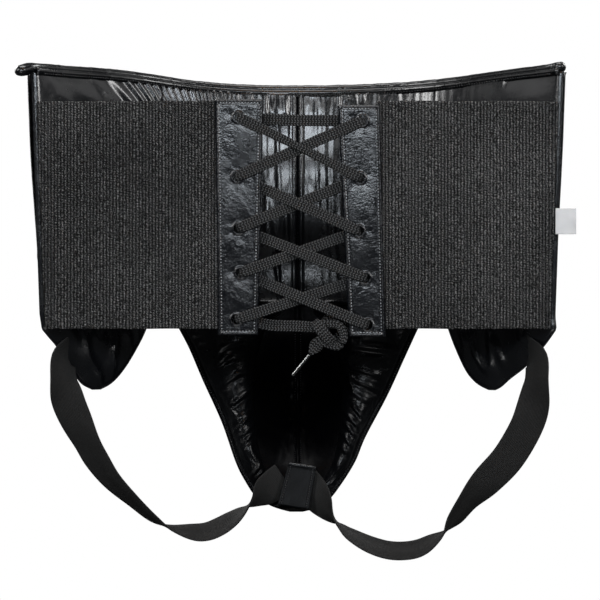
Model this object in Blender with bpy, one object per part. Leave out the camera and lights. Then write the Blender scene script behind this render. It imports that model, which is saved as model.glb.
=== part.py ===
"""Groin protector: padded front pad with a cup, laced elastic back and two leg straps.

Frame: metres, +Z up, +X to the wearer's right as seen from behind, +Y to the wearer's front.
The origin is the middle of the waist opening, at the middle height of the belt.
"""
import math

import bmesh
import bpy
from mathutils import Vector

# ---- driving dimensions -------------------------------------------------------------------
GAP = 0.0003                 # clearance between pieces that touch
LEATHER = 0.0012             # thickness of covers and linings

SEAM_Y = -0.0485             # the pad's inner face at the side seams
PAD_RADIUS = 0.226           # inner radius of the pad at the top
PAD_CONE = 0.0436            # radius lost per metre going down
PAD_HALF_ANGLE = math.radians(54.73)
PAD_TOP_SIDE = 0.1035        # height of the pad's top edge at the side seams
PAD_TOP_CENTRE = 0.0965      # and at the centre front
BELLY_THICK = 0.025          # padding thickness, leather included
HIP_THICK = 0.022
EDGE_THICK = 0.007           # thickness where a padded section is sewn down
EDGE_RUN = 0.030             # distance over which the padding rises from its seam
LEFT_RISE = 0.0046           # extra height of the top edge over the left hip
RIGHT_RISE = 0.0020          # and over the right hip
SECTION_SEAM = 0.100         # |x| of the seam between belly and hip sections
ARCH_TOP = -0.062            # top of the leg cut-outs

BACK_SIDE_Y = -0.0500        # the elastic back at the side seams
BACK_BOW = 0.0070            # how far its middle stands out
ELASTIC_THICK = 0.0014
ELASTIC_TOP = 0.0800
ELASTIC_BOTTOM = -0.0797
PANEL_FACE = 0.0016          # leather face of a lacing panel
PANEL_BACKING = 0.0014
HOLE_RADIUS = 0.0038

LACE_WIDTH = 0.0080
LACE_THICK = 0.0014
LACE_HOLE_WIDTH = 0.0052     # the lace bunches up where it passes a hole
LACE_HOLE_THICK = 0.0022
AGLET_RADIUS = 0.0014
AGLET_LENGTH = 0.0190

STRAP_WIDTH = 0.0235
STRAP_THICK = 0.0016

ROLL_RADIUS = 0.0030         # rolled leather along the pad's top edge
CUP_CENTRE_Z = -0.132
CUP_HALF_WIDTH = 0.041
CUP_HALF_HEIGHT = 0.060
CUP_DEPTH = 0.034
CUP_WALL = 0.0028            # plastic wall of the hard cup
CUP_ROOM = 0.0024            # air between the hard cup and the layers round it


# ---- outlines: (height, x) pairs ----------------------------------------------------------
LEFT_HOLES = [(-0.0414, 0.0683), (-0.0423, 0.0268), (-0.0414, -0.0094), (-0.0397, -0.0404),
              (-0.0428, -0.0730)]
RIGHT_HOLES = [(0.0456, 0.0660), (0.0438, 0.0259), (0.0429, -0.0112), (0.0474, -0.0440),
               (0.0491, -0.0770)]
LEFT_LOBE_OUT = [(-0.0800, -0.1775), (-0.0860, -0.1740), (-0.0930, -0.1690),
                 (-0.1030, -0.1635), (-0.1140, -0.1560), (-0.1200, -0.1515),
                 (-0.1240, -0.1450)]
LEFT_LOBE_IN = [(-0.0620, -0.1005), (-0.0655, -0.1045), (-0.0800, -0.1085), (-0.0920, -0.1138),
                (-0.1080, -0.1228), (-0.1190, -0.1318), (-0.1240, -0.1400)]
RIGHT_LOBE_OUT = [(-0.0800, 0.1790), (-0.0900, 0.1730), (-0.0990, 0.1665), (-0.1080, 0.1590),
                  (-0.1160, 0.1500), (-0.1220, 0.1440), (-0.1245, 0.1400)]
RIGHT_LOBE_IN = [(-0.0620, 0.1005), (-0.0655, 0.1040), (-0.0800, 0.1080), (-0.0950, 0.1133),
                 (-0.1110, 0.1205), (-0.1200, 0.1280), (-0.1245, 0.1360)]
CROTCH_LEFT = [(-0.0626, -0.0970), (-0.0800, -0.0875), (-0.0960, -0.0794), (-0.1200, -0.0693),
               (-0.1500, -0.0556), (-0.1780, -0.0453), (-0.1920, -0.0380), (-0.2030, -0.0300),
               (-0.2100, -0.0180), (-0.2135, -0.0060)]
CROTCH_RIGHT = [(-0.0626, 0.0970), (-0.0800, 0.0887), (-0.1010, 0.0792), (-0.1300, 0.0661),
                (-0.1600, 0.0499), (-0.1780, 0.0420), (-0.1950, 0.0310), (-0.2060, 0.0220),
                (-0.2110, 0.0140), (-0.2135, 0.0040)]

# leg straps: (x, y, z, roll in degrees about the strap's own line)
LEFT_STRAP_ROUTE = [
    (-0.1670, -0.0380, -0.1020, -52), (-0.1655, -0.0368, -0.1164, -42),
    (-0.1626, -0.0350, -0.1308, -8), (-0.1570, -0.0322, -0.1451, 12),
    (-0.1503, -0.0297, -0.1595, 32), (-0.1426, -0.0272, -0.1739, 37),
    (-0.1324, -0.0247, -0.1883, 49), (-0.1176, -0.0217, -0.2029, 62),
    (-0.1024, -0.0187, -0.2165, 72), (-0.0904, -0.0162, -0.2229, 92),
    (-0.0760, -0.0132, -0.2260, 113), (-0.0653, -0.0112, -0.2258, 119),
    (-0.0560, -0.0097, -0.2222, 120), (-0.0474, -0.0082, -0.2168, 115),
    (-0.0395, -0.0062, -0.2105, 100), (-0.0315, -0.0040, -0.2045, 70),
    (-0.0229, -0.0010, -0.1972, 25), (-0.0100, 0.0060, -0.1885, 0)]
RIGHT_STRAP_ROUTE = [
    (0.1700, -0.0420, -0.1020, 54), (0.1690, -0.0396, -0.1164, 50),
    (0.1676, -0.0364, -0.1308, 26), (0.1640, -0.0339, -0.1451, 2),
    (0.1572, -0.0314, -0.1595, 0), (0.1480, -0.0289, -0.1739, -5),
    (0.1348, -0.0264, -0.1883, -17), (0.1218, -0.0239, -0.2029, -46),
    (0.1120, -0.0219, -0.2165, -60), (0.1043, -0.0204, -0.2262, -88),
    (0.0960, -0.0189, -0.2321, -107), (0.0862, -0.0174, -0.2373, -116),
    (0.0750, -0.0159, -0.2392, -118), (0.0638, -0.0144, -0.2385, -118),
    (0.0523, -0.0129, -0.2350, -116), (0.0415, -0.0114, -0.2297, -110),
    (0.0343, -0.0104, -0.2249, -102), (0.0271, -0.0089, -0.2180, -85),
    (0.0198, -0.0035, -0.2086, -45), (0.0119, 0.0030, -0.1993, -12),
    (0.0039, 0.0085, -0.1899, 0)]


# ---- small maths --------------------------------------------------------------------------
def lerp_table(table, z):
    """x at height z on an outline of (z, x) pairs that runs downwards."""
    if z >= table[0][0]:
        return table[0][1]
    for (z0, x0), (z1, x1) in zip(table, table[1:]):
        if z >= z1:
            return x0 + (x1 - x0) * (z0 - z) / (z0 - z1)
    return table[-1][1]


def smooth(value):
    """Smooth step from 0 to 1."""
    value = min(max(value, 0.0), 1.0)
    return value * value * (3.0 - 2.0 * value)


def spread(start, end, count):
    """Evenly spaced values from start to end."""
    return [start + (end - start) * i / (count - 1) for i in range(count)]


# ---- the pad's surfaces -------------------------------------------------------------------
def pad_radius(z):
    """Inner radius of the front pad at height z."""
    return PAD_RADIUS - PAD_CONE * (PAD_TOP_SIDE - z)


def seam_x(z):
    """|x| of the side seam at height z."""
    return pad_radius(z) * math.sin(PAD_HALF_ANGLE)


def axis_y(z):
    """Y of the vertical axis that the pad bends round at height z."""
    return SEAM_Y - pad_radius(z) * math.cos(PAD_HALF_ANGLE)


def top_z(x):
    """Height of the pad's top edge."""
    side = min(abs(x) / seam_x(PAD_TOP_SIDE), 1.0)
    left = LEFT_RISE * math.exp(-((x + 0.128) / 0.048) ** 2)
    right = RIGHT_RISE * math.exp(-((x - 0.150) / 0.040) ** 2)
    return PAD_TOP_CENTRE + (PAD_TOP_SIDE - PAD_TOP_CENTRE) * side ** 2 + left + right


def pad_point(x, z, out):
    """Point of the pad at x on its inner face, moved outwards by out."""
    radius = pad_radius(z)
    angle = math.asin(max(-1.0, min(1.0, x / radius)))
    radius += out
    return Vector((radius * math.sin(angle), axis_y(z) + radius * math.cos(angle), z))


def crotch_base_y(x, z):
    """The crotch panel's inner face without its recess: the cone, curling back at the bottom."""
    radius = pad_radius(z)
    curl = 0.032 * smooth((-0.120 - z) / 0.100)
    return axis_y(z) + math.sqrt(radius ** 2 - x ** 2) - curl


def recess(x, z):
    """Depth of the cup recess."""
    q = math.hypot(x / CUP_HALF_WIDTH, (z - CUP_CENTRE_Z) / CUP_HALF_HEIGHT)
    return CUP_DEPTH * 0.5 * (1.0 + math.cos(min(q, 1.0) * math.pi))


def crotch_in(x, z):
    """Inner face of the crotch panel."""
    return crotch_base_y(x, z) + recess(x, z)


def crotch_out(x, z):
    """Outer face of the crotch panel, domed over the cup."""
    left = lerp_table(CROTCH_LEFT, z)
    right = lerp_table(CROTCH_RIGHT, z)
    inside = min(x - left, right - x, z + 0.216)
    rim = 0.0095 + 0.0130 * smooth(inside / 0.030)
    q = math.hypot(x / 0.066, (z - CUP_CENTRE_Z) / 0.086)
    return crotch_base_y(x, z) + rim + 0.036 * math.cos(min(q, 1.0) * math.pi / 2)


def back_y(x):
    """Middle surface of the elastic back."""
    return BACK_SIDE_Y - BACK_BOW * math.cos(min(abs(x) / seam_x(0.0), 1.0) * math.pi / 2)


# ---- building blocks ----------------------------------------------------------------------
def material(name, colour, roughness, metallic=0.0):
    """A plain Principled material."""
    mat = bpy.data.materials.new(name)
    mat.use_nodes = True
    shader = mat.node_tree.nodes["Principled BSDF"]
    shader.inputs["Base Color"].default_value = (*colour, 1.0)
    shader.inputs["Roughness"].default_value = roughness
    shader.inputs["Metallic"].default_value = metallic
    return mat


def add_object(name, verts, faces, mat, sharp_degrees=40.0, origin=None):
    """A closed mesh object whose faces point outwards."""
    mesh = bpy.data.meshes.new(name)
    shift = Vector(origin or (0.0, 0.0, 0.0))
    mesh.from_pydata([Vector(v) - shift for v in verts], [], faces)
    bm = bmesh.new()
    bm.from_mesh(mesh)
    bmesh.ops.recalc_face_normals(bm, faces=bm.faces)
    bm.to_mesh(mesh)
    bm.free()
    mesh.shade_smooth()
    mesh.set_sharp_from_angle(angle=math.radians(sharp_degrees))
    mesh.materials.append(mat)
    obj = bpy.data.objects.new(name, mesh)
    obj.location = shift
    bpy.context.scene.collection.objects.link(obj)
    return obj


def slab(name, rows, columns, near, far, mat):
    """A closed sheet over rows of (z, x_left, x_right); near and far give its two faces."""
    sheets = [near, far]
    grid = []
    verts = []
    for face in sheets:
        layer = []
        for z, left, right in rows:
            layer.append([])
            for x in spread(left, right, columns + 1):
                layer[-1].append(len(verts))
                verts.append(face(x, z))
        grid.append(layer)
    faces = []
    last_row = len(rows) - 1
    for r in range(last_row):
        for c in range(columns):
            for layer in grid:
                faces.append((layer[r][c], layer[r][c + 1], layer[r + 1][c + 1], layer[r + 1][c]))
        for c in (0, columns):
            faces.append((grid[0][r][c], grid[1][r][c], grid[1][r + 1][c], grid[0][r + 1][c]))
    for r in (0, last_row):
        for c in range(columns):
            faces.append((grid[0][r][c], grid[0][r][c + 1], grid[1][r][c + 1], grid[1][r][c]))
    return add_object(name, verts, faces, mat)


def sweep(name, rings, mat, sharp_degrees=40.0, origin=None):
    """A closed skin through rings of points, with a cap at each end."""
    size = len(rings[0])
    verts = [point for ring in rings for point in ring]
    faces = [tuple(range(size)), tuple(range((len(rings) - 1) * size, len(rings) * size))]
    for k in range(len(rings) - 1):
        for i in range(size):
            j = (i + 1) % size
            faces.append((k * size + i, k * size + j, (k + 1) * size + j, (k + 1) * size + i))
    return add_object(name, verts, faces, mat, sharp_degrees, origin)


def catmull(points, steps):
    """Smooth curve through points of any dimension, steps pieces for each span."""
    padded = [points[0]] + list(points) + [points[-1]]
    found = []
    for p0, p1, p2, p3 in zip(padded, padded[1:], padded[2:], padded[3:]):
        for s in range(steps):
            t = s / steps
            found.append([
                0.5 * (2 * b + (c - a) * t + (2 * a - 5 * b + 4 * c - d) * t * t
                       + (3 * b - a - 3 * c + d) * t ** 3)
                for a, b, c, d in zip(p0, p1, p2, p3)])
    found.append(list(points[-1]))
    return found


def ribbon_ring(centre, side, normal, width, thick):
    """Eight points round a flat ribbon's section with softened edges."""
    shape = [(0.5, 0.22), (0.36, 0.5), (-0.36, 0.5), (-0.5, 0.22),
             (-0.5, -0.22), (-0.36, -0.5), (0.36, -0.5), (0.5, -0.22)]
    return [centre + side * (a * width) + normal * (b * thick) for a, b in shape]


# ---- the front pad ------------------------------------------------------------------------
def padded_thickness(x, z, left, right, full):
    """Thickness of a padded section between the seams at left and right."""
    near = min(x - left, right - x, top_z(x) - z)
    return EDGE_THICK + (full - EDGE_THICK) * smooth(near / EDGE_RUN)


def front_rows(kind):
    """Rows (z, x_left, x_right) of the left hip, the belly or the right hip section."""
    heights = spread(PAD_TOP_SIDE - 0.003, ARCH_TOP, 9)
    if kind == "belly":
        inner = SECTION_SEAM - GAP
        return [(z, -inner, inner) for z in heights]
    if kind == "left":
        lobe = [(z, lerp_table(LEFT_LOBE_OUT, z) if z < -0.080 else -seam_x(z), x)
                for z, x in LEFT_LOBE_IN]
        return [(z, -seam_x(z), -SECTION_SEAM) for z in heights[:-1]] + lobe
    lobe = [(z, x, lerp_table(RIGHT_LOBE_OUT, z) if z < -0.080 else seam_x(z))
            for z, x in RIGHT_LOBE_IN]
    return [(z, SECTION_SEAM, seam_x(z)) for z in heights[:-1]] + lobe


def lining_rows(left_side):
    """Rows of a lining half: from the side seam to the centre seam, then down the hip lobe."""
    rows = []
    for z in spread(PAD_TOP_SIDE - 0.003, ARCH_TOP, 9):
        rows.append((z, -seam_x(z), -0.0004) if left_side else (z, 0.0004, seam_x(z)))
    z = ARCH_TOP - 0.0002
    rows.append((z, -seam_x(z), -SECTION_SEAM) if left_side else (z, SECTION_SEAM, seam_x(z)))
    return rows + front_rows("left" if left_side else "right")[9:]


def under_top(x, z):
    """Height z carried along the curved top edge: full shift at the top, none at the arch."""
    share = (z - ARCH_TOP) / (PAD_TOP_SIDE - 0.003 - ARCH_TOP)
    if share <= 0.0:
        return z
    return z + (top_z(x) - PAD_TOP_SIDE) * share


def pad_layer(depth):
    """Surface function at a fixed depth outwards from the pad's inner face."""
    def surface(x, z):
        return pad_point(x, under_top(x, z), depth)
    return surface


def pad_top_layer(kind, full, below):
    """Surface function at the given depth below a section's outer face."""
    def surface(x, z):
        left, right = section_limits(kind, z)
        out = padded_thickness(x, z, left, right, full) - below
        return pad_point(x, under_top(x, z), out)
    return surface


def section_limits(kind, z):
    """x limits of a padded section at height z."""
    if kind == "belly":
        return -SECTION_SEAM, SECTION_SEAM
    if kind == "left":
        outer = lerp_table(LEFT_LOBE_OUT, z) if z < -0.080 else -seam_x(z)
        inner = lerp_table(LEFT_LOBE_IN, z) if z < ARCH_TOP else -SECTION_SEAM
        return outer, inner
    outer = lerp_table(RIGHT_LOBE_OUT, z) if z < -0.080 else seam_x(z)
    inner = lerp_table(RIGHT_LOBE_IN, z) if z < ARCH_TOP else SECTION_SEAM
    return inner, outer


def build_front(mats):
    """Linings, foams and covers of the belly and hips."""
    for left_side, name in ((True, "left_lining"), (False, "right_lining")):
        slab(name, lining_rows(left_side), 10, pad_layer(0.0), pad_layer(LEATHER),
             mats["leather"])
    sections = [("left", "left_hip", HIP_THICK, 6), ("belly", "belly", BELLY_THICK, 10),
                ("right", "right_hip", HIP_THICK, 6)]
    for kind, name, full, columns in sections:
        rows = front_rows(kind)
        slab(name + "_foam", rows, columns, pad_layer(LEATHER + 1.5 * GAP),
             pad_top_layer(kind, full, LEATHER + GAP), mats["foam"])
        slab(name + "_cover", rows, columns, pad_top_layer(kind, full, LEATHER),
             pad_top_layer(kind, full, 0.0), mats["leather"])


def build_waist_roll(mats):
    """Rolled leather along the top edge, with its ends standing out at the side seams."""
    rings = []
    reach = seam_x(PAD_TOP_SIDE)
    for x in spread(-reach - 0.005, reach, 27):
        tangent_step = 0.001
        centre = pad_point(x, top_z(x) + ROLL_RADIUS - 0.0026, EDGE_THICK / 2)
        ahead = pad_point(x + tangent_step, centre.z, EDGE_THICK / 2)
        behind = pad_point(x - tangent_step, centre.z, EDGE_THICK / 2)
        along = (ahead - behind).normalized()
        outward = along.cross(Vector((0.0, 0.0, 1.0))).normalized()
        ring = []
        for k in range(8):
            turn = 2 * math.pi * k / 8
            ring.append(centre + outward * (ROLL_RADIUS * 1.25 * math.cos(turn))
                        + Vector((0.0, 0.0, ROLL_RADIUS * math.sin(turn))))
        rings.append(ring)
    sweep("waist_roll", rings, mats["leather"], 60.0)


# ---- the crotch panel ---------------------------------------------------------------------
def crotch_rows(inset=0.0, bottom=-0.2135, count=15):
    """Rows of the crotch panel between its two edges."""
    rows = []
    for z in spread(CROTCH_LEFT[0][0], bottom, count):
        rows.append((z, lerp_table(CROTCH_LEFT, z) + inset, lerp_table(CROTCH_RIGHT, z) - inset))
    return rows


def y_surface(function, shift):
    """Surface function from a depth function y(x, z), moved along Y."""
    def surface(x, z):
        return Vector((x, function(x, z) + shift, z))
    return surface


def ellipse_rows(half_width, half_height, count):
    """Rows that cover an upright ellipse round the cup's centre."""
    rows = []
    for turn in spread(0.04, math.pi - 0.04, count):
        z = CUP_CENTRE_Z + half_height * math.cos(turn)
        reach = half_width * math.sin(turn)
        rows.append((z, -reach, reach))
    return rows


def build_crotch(mats):
    """Cup lining, hard cup, foam and cover."""
    cup_near = LEATHER + CUP_ROOM
    foam_near = cup_near + CUP_WALL + CUP_ROOM
    slab("cup_lining", crotch_rows(), 14, y_surface(crotch_in, 0.0),
         y_surface(crotch_in, LEATHER), mats["lining"])
    slab("hard_cup", ellipse_rows(0.041, 0.060, 13), 10, y_surface(crotch_in, cup_near),
         y_surface(crotch_in, cup_near + CUP_WALL), mats["cup"])
    slab("cup_foam", crotch_rows(), 14, y_surface(crotch_in, foam_near),
         y_surface(crotch_out, -LEATHER - GAP), mats["foam"])
    slab("cup_cover", crotch_rows(), 14, y_surface(crotch_out, -LEATHER),
         y_surface(crotch_out, 0.0), mats["leather"])


def roll_limits(z, side):
    """Inner and outer |x| of a cup roll at height z."""
    edge = lerp_table(CROTCH_LEFT if side < 0 else CROTCH_RIGHT, z)
    q = min(abs(z - CUP_CENTRE_Z) / (CUP_HALF_HEIGHT + 0.002), 1.0)
    inner = 0.0120 + 0.0200 * math.sqrt(1.0 - q * q)
    return inner, abs(edge) - 0.0015


def build_cup_rolls(mats):
    """Padded rolls at both sides of the recess, on the wearer's side."""
    for side, name in ((-1, "left_cup_roll"), (1, "right_cup_roll")):
        rings = []
        for z in spread(-0.0680, -0.1990, 17):
            inner, outer = roll_limits(z, side)
            height = 0.0150 * smooth((z + 0.212) / 0.050) + 0.002
            ring = []
            for k in range(7):
                turn = math.pi * k / 6
                x = side * ((inner + outer) / 2 - (outer - inner) / 2 * math.cos(turn))
                rise = height * math.sin(turn) ** 0.7 if 0 < k < 6 else 0.0
                ring.append(Vector((x, crotch_base_y(x, z) - 0.0014 - rise, z)))
            for k in (4, 2):
                x = side * (inner + (outer - inner) * k / 6)
                ring.append(Vector((x, crotch_base_y(x, z) - 0.0006, z)))
            rings.append(ring)
        sweep(name, rings, mats["leather"], 50.0)


def build_tab(mats):
    """Leather tab over the sewn strap ends."""
    top = Vector((0.0035, 0.0045, -0.1790))
    down = Vector((-0.0065, -0.0075, -0.0290))
    across = Vector((0.0200, 0.0, -0.0030))
    half = 0.0009
    verts = []
    for y in (-half, half):
        for a, b in ((-0.5, 0.0), (0.5, 0.0), (0.56, 1.0), (-0.56, 1.0)):
            verts.append(top + across * a + down * b + Vector((0.0, y, 0.0)))
    faces = [(0, 1, 2, 3), (4, 5, 6, 7), (0, 1, 5, 4), (1, 2, 6, 5), (2, 3, 7, 6), (3, 0, 4, 7)]
    add_object("crotch_tab", verts, faces, mats["leather"])


# ---- the elastic back ---------------------------------------------------------------------
def back_surface(shift):
    """Surface function parallel to the elastic back; shift is positive towards the body."""
    def surface(x, z):
        return Vector((x, back_y(x) + shift, z))
    return surface


def build_elastics(mats):
    """Wide elastic from the side seams to the lacing panels."""
    half = ELASTIC_THICK / 2
    heights = spread(ELASTIC_TOP, ELASTIC_BOTTOM, 4)
    left_rows = [(z, -seam_x(z) + 0.0005, -0.0500) for z in heights]
    right_rows = [(z, 0.0550, seam_x(z) - 0.0005) for z in heights]
    for name, rows in (("left_elastic", left_rows), ("right_elastic", right_rows)):
        slab(name, rows, 8, back_surface(-half), back_surface(half), mats["elastic"])


def panel_rows(side, inset):
    """Rows of a lacing panel, slightly slanted at its free edge."""
    if side < 0:
        corners = [(0.0810, -0.0577, -0.0240), (-0.0840, -0.0556, -0.0276)]
    else:
        corners = [(0.0770, 0.0284, 0.0577), (-0.0850, 0.0360, 0.0616)]
    (z0, l0, r0), (z1, l1, r1) = corners
    return [(z0 + (z1 - z0) * t, l0 + (l1 - l0) * t + inset, r0 + (r1 - r0) * t - inset)
            for t in spread(0.0, 1.0, 3)]


def build_lacing_panels(mats):
    """Face and backing of both lacing panels, punched with five holes each."""
    half = ELASTIC_THICK / 2 + GAP
    for side, word, holes in ((-1, "left", LEFT_HOLES), (1, "right", RIGHT_HOLES)):
        face = slab(word + "_lacing_face", panel_rows(side, 0.0), 3,
                    back_surface(-half - PANEL_FACE), back_surface(-half), mats["leather"])
        backing = slab(word + "_lacing_backing", panel_rows(side, 0.0006), 3,
                       back_surface(half), back_surface(half + PANEL_BACKING),
                       mats["leather"])
        for number, (x, z) in enumerate(holes):
            cutter = hole_cutter("%s_punch_%d" % (word, number), x, z)
            for plate in (face, backing):
                cut = plate.modifiers.new("hole_%d" % number, "BOOLEAN")
                cut.object = cutter
                cut.operation = "DIFFERENCE"


def hole_cutter(name, x, z):
    """A cylinder along Y that punches one lacing hole."""
    sides = 14
    rings = []
    for y in (-0.075, -0.040):
        rings.append([Vector((x + HOLE_RADIUS * math.cos(2 * math.pi * k / sides), y,
                              z + HOLE_RADIUS * math.sin(2 * math.pi * k / sides)))
                      for k in range(sides)])
    cutter = sweep(name, rings, None)
    cutter.hide_render = True
    cutter.display_type = "WIRE"
    return cutter


# ---- the lace -----------------------------------------------------------------------------
LACE_OUT = -ELASTIC_THICK / 2 - GAP - PANEL_FACE - GAP - 0.0010
LACE_IN = ELASTIC_THICK / 2 + GAP + PANEL_BACKING + GAP + 0.0010


def lace_point(x, z, level, width=LACE_WIDTH, thick=LACE_THICK):
    """One route point: x, y, z, width, thickness; level is the depth beside the back."""
    return [x, back_y(x) + level, z, width, thick]


def through_hole(hole, before, after, outwards):
    """Route points through a hole; before and after are unit steps along the two strands."""
    x, z = hole
    first, last = (LACE_IN, LACE_OUT) if outwards else (LACE_OUT, LACE_IN)
    sign = 1.0 if first > last else -1.0
    width, thick = LACE_HOLE_WIDTH, LACE_HOLE_THICK
    mean = (LACE_WIDTH + width) / 2
    return [
        lace_point(x - before[0] * 0.0085, z - before[1] * 0.0085, first),
        lace_point(x - before[0] * 0.0040, z - before[1] * 0.0040, first + sign * 0.0006, mean),
        lace_point(x - before[0] * 0.0008, z - before[1] * 0.0008, first - sign * 0.0010,
                   width, thick),
        lace_point(x, z, (first + last) / 2, width, thick),
        lace_point(x + after[0] * 0.0008, z + after[1] * 0.0008, last + sign * 0.0010,
                   width, thick),
        lace_point(x + after[0] * 0.0040, z + after[1] * 0.0040, last - sign * 0.0006, mean),
        lace_point(x + after[0] * 0.0085, z + after[1] * 0.0085, last),
    ]


def heading(start, end):
    """Unit step from start to end in the XZ plane."""
    length = math.hypot(end[0] - start[0], end[1] - start[1])
    return (end[0] - start[0]) / length, (end[1] - start[1]) / length


def crossing(start, end, first, last, middle):
    """Points of one strand between two holes: first and last are its levels, middle at x=0."""
    found = []
    for t in (0.24, 0.37, 0.5, 0.63, 0.76):
        x = start[0] + (end[0] - start[0]) * t
        z = start[1] + (end[1] - start[1]) * t
        if t < 0.5:
            level = first + (middle - first) * smooth((t - 0.20) / 0.30)
        else:
            level = middle + (last - middle) * smooth((t - 0.5) / 0.26)
        found.append(lace_point(x, z, level))
    return found


def lace_side(own, other, over):
    """Strands of one half of the lace, from its first hole outwards to its last hole.

    own are the holes of the panel it starts on; over says that it crosses on top."""
    stops = [own[0], other[1], own[2], other[3], own[4]]
    route = []
    bar = heading(other[0], own[0])
    route += through_hole(own[0], bar, heading(stops[0], stops[1]), True)
    for k in range(4):
        start, end = stops[k], stops[k + 1]
        first = LACE_OUT if k == 0 else LACE_IN
        on_top = over if k % 2 == 0 else not over
        if k == 0:
            middle = LACE_OUT - 0.0014 if on_top else LACE_OUT + 0.0016
        else:
            middle = LACE_OUT + 0.0008 if on_top else LACE_IN - 0.0018
        route += crossing(start, end, first, LACE_OUT, middle)
        after = heading(end, stops[k + 2]) if k < 3 else knot_heading(end)
        route += through_hole(end, heading(start, end), after, False)
    return route


KNOT = (0.0228, -0.0826)


def knot_heading(hole):
    """Direction in which the lace leaves its last hole for the knot."""
    return (1.0, -0.02) if hole[0] < 0 else (-0.92, 0.39)


def lace_route():
    """The whole lace: from its tucked end through the knot, all holes, to the knot's loop."""
    # the half that starts at the top right hole ends in the bottom right one
    right_half = lace_side(RIGHT_HOLES, LEFT_HOLES, False)
    left_half = lace_side(LEFT_HOLES, RIGHT_HOLES, True)
    bar = [lace_point(x, z, LACE_IN) for x, z in
           ((-0.0200, 0.0672), (0.0020, 0.0664), (0.0240, 0.0664))]
    route = right_half[::-1] + bar[::-1] + left_half
    narrow = 0.0060
    tucked = [
        lace_point(0.0560, -0.0450, LACE_IN + 0.0026, 0.0030, 0.0024),
        lace_point(0.0480, -0.0560, LACE_IN + 0.0030, narrow),
        lace_point(0.0400, -0.0690, LACE_IN + 0.0034, narrow),
        lace_point(0.0310, -0.0830, LACE_IN + 0.0040, narrow),
        lace_point(0.0230, -0.0890, LACE_IN + 0.0034, narrow),
        lace_point(0.0170, -0.0830, LACE_IN + 0.0020, narrow),
        lace_point(0.0200, -0.0740, LACE_IN + 0.0004, narrow),
        lace_point(0.0280, -0.0695, LACE_IN, LACE_WIDTH),
    ]
    return tucked, route, narrow


def finish_route():
    """The route as one list of points, ending in the knot's loop."""
    tucked, route, narrow = lace_route()
    loop = [
        lace_point(-0.0200, -0.0750, LACE_IN),
        lace_point(0.0000, -0.0762, LACE_IN - 0.0020),
        lace_point(0.0130, -0.0780, LACE_IN - 0.0040, narrow),
        lace_point(0.0220, -0.0755, LACE_IN - 0.0060, narrow),
        lace_point(0.0295, -0.0790, LACE_IN - 0.0070, narrow),
        lace_point(0.0295, -0.0865, LACE_IN - 0.0070, narrow),
        lace_point(0.0235, -0.0885, LACE_IN - 0.0080, narrow),
        lace_point(0.0185, -0.0875, LACE_IN - 0.0090, 0.0045),
    ]
    return tucked + route + loop


def flat_ribbon(name, route, mat, origin=None):
    """A flat braid along route points of x, y, z, width and thickness."""
    rings = []
    side = None
    for k, (x, y, z, width, thick) in enumerate(route):
        before = Vector(route[max(k - 1, 0)][:3])
        after = Vector(route[min(k + 1, len(route) - 1)][:3])
        along = (after - before).normalized()
        flat = Vector((along.x, 0.0, along.z))
        if flat.length > 0.25 or side is None:
            across = Vector((-flat.z, 0.0, flat.x)).normalized()
        else:
            across = side.copy()
        if side is not None and across.dot(side) < 0:
            across.negate()
        if side is not None:
            across = (across * 0.6 + side * 0.4).normalized()
        side = across
        normal = along.cross(across).normalized()
        rings.append(ribbon_ring(Vector((x, y, z)), across, normal, width, thick))
    return sweep(name, rings, mat, 50.0, origin)


def aglet(name, start, direction, mat, origin=None):
    """A rolled metal tip, slightly narrowed at its far end."""
    along = Vector(direction).normalized()
    across = along.cross(Vector((0.0, 1.0, 0.0))).normalized()
    normal = along.cross(across)
    rings = []
    for share, radius in ((0.0, 0.94), (0.04, 1.0), (0.93, 1.0), (1.0, 0.72)):
        centre = Vector(start) + along * (AGLET_LENGTH * share)
        rings.append([centre + across * (AGLET_RADIUS * radius * math.cos(math.pi * k / 4))
                      + normal * (AGLET_RADIUS * radius * math.sin(math.pi * k / 4))
                      for k in range(8)])
    return sweep(name, rings, mat, 50.0, origin)


TAIL_PIVOT = (0.0165, -0.0600, -0.0880)


def build_lace(mats):
    """Laced part, its tucked aglet, and the free tail with its own aglet."""
    route = finish_route()
    flat_ribbon("lace", route, mats["lace"])
    start = Vector(route[0][:3])
    direction = (start - Vector(route[1][:3])).normalized()
    aglet("tucked_aglet", start + direction * GAP, direction, mats["metal"])
    tail = [
        [0.0165, -0.0600, -0.0882, 0.0045, 0.0026],
        [0.0145, -0.0603, -0.0905, 0.0062, 0.0018],
        [0.0125, -0.0605, -0.0932, 0.0074, 0.0016],
        [0.0102, -0.0605, -0.0958, 0.0050, 0.0022],
        [0.0085, -0.0605, -0.0974, 0.0026, 0.0024],
    ]
    tail[0][1] = tail[1][1] = route[-1][1] - 0.0002
    flat_ribbon("lace_tail", tail, mats["lace"], TAIL_PIVOT)
    aglet("lace_aglet", (0.0083, -0.0605, -0.0977), (-0.0100, 0.0, -0.0122), mats["metal"],
          TAIL_PIVOT)


# ---- straps and tag -----------------------------------------------------------------------
def build_strap(name, route, mat):
    """Leg strap: flat webbing that turns about its own line between its two sewn ends."""
    points = catmull(route, 2)
    pivot = Vector(route[0][:3])
    rings = []
    for k, (x, y, z, roll) in enumerate(points):
        before = Vector(points[max(k - 1, 0)][:3])
        after = Vector(points[min(k + 1, len(points) - 1)][:3])
        along = (after - before).normalized()
        side = along.cross(Vector((0.0, 1.0, 0.0))).normalized()
        normal = along.cross(side).normalized()
        turn = math.radians(roll)
        across = side * math.cos(turn) + normal * math.sin(turn)
        up = normal * math.cos(turn) - side * math.sin(turn)
        rings.append(ribbon_ring(Vector((x, y, z)), across, up, STRAP_WIDTH, STRAP_THICK))
    sweep(name, rings, mat, 50.0, pivot)


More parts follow.
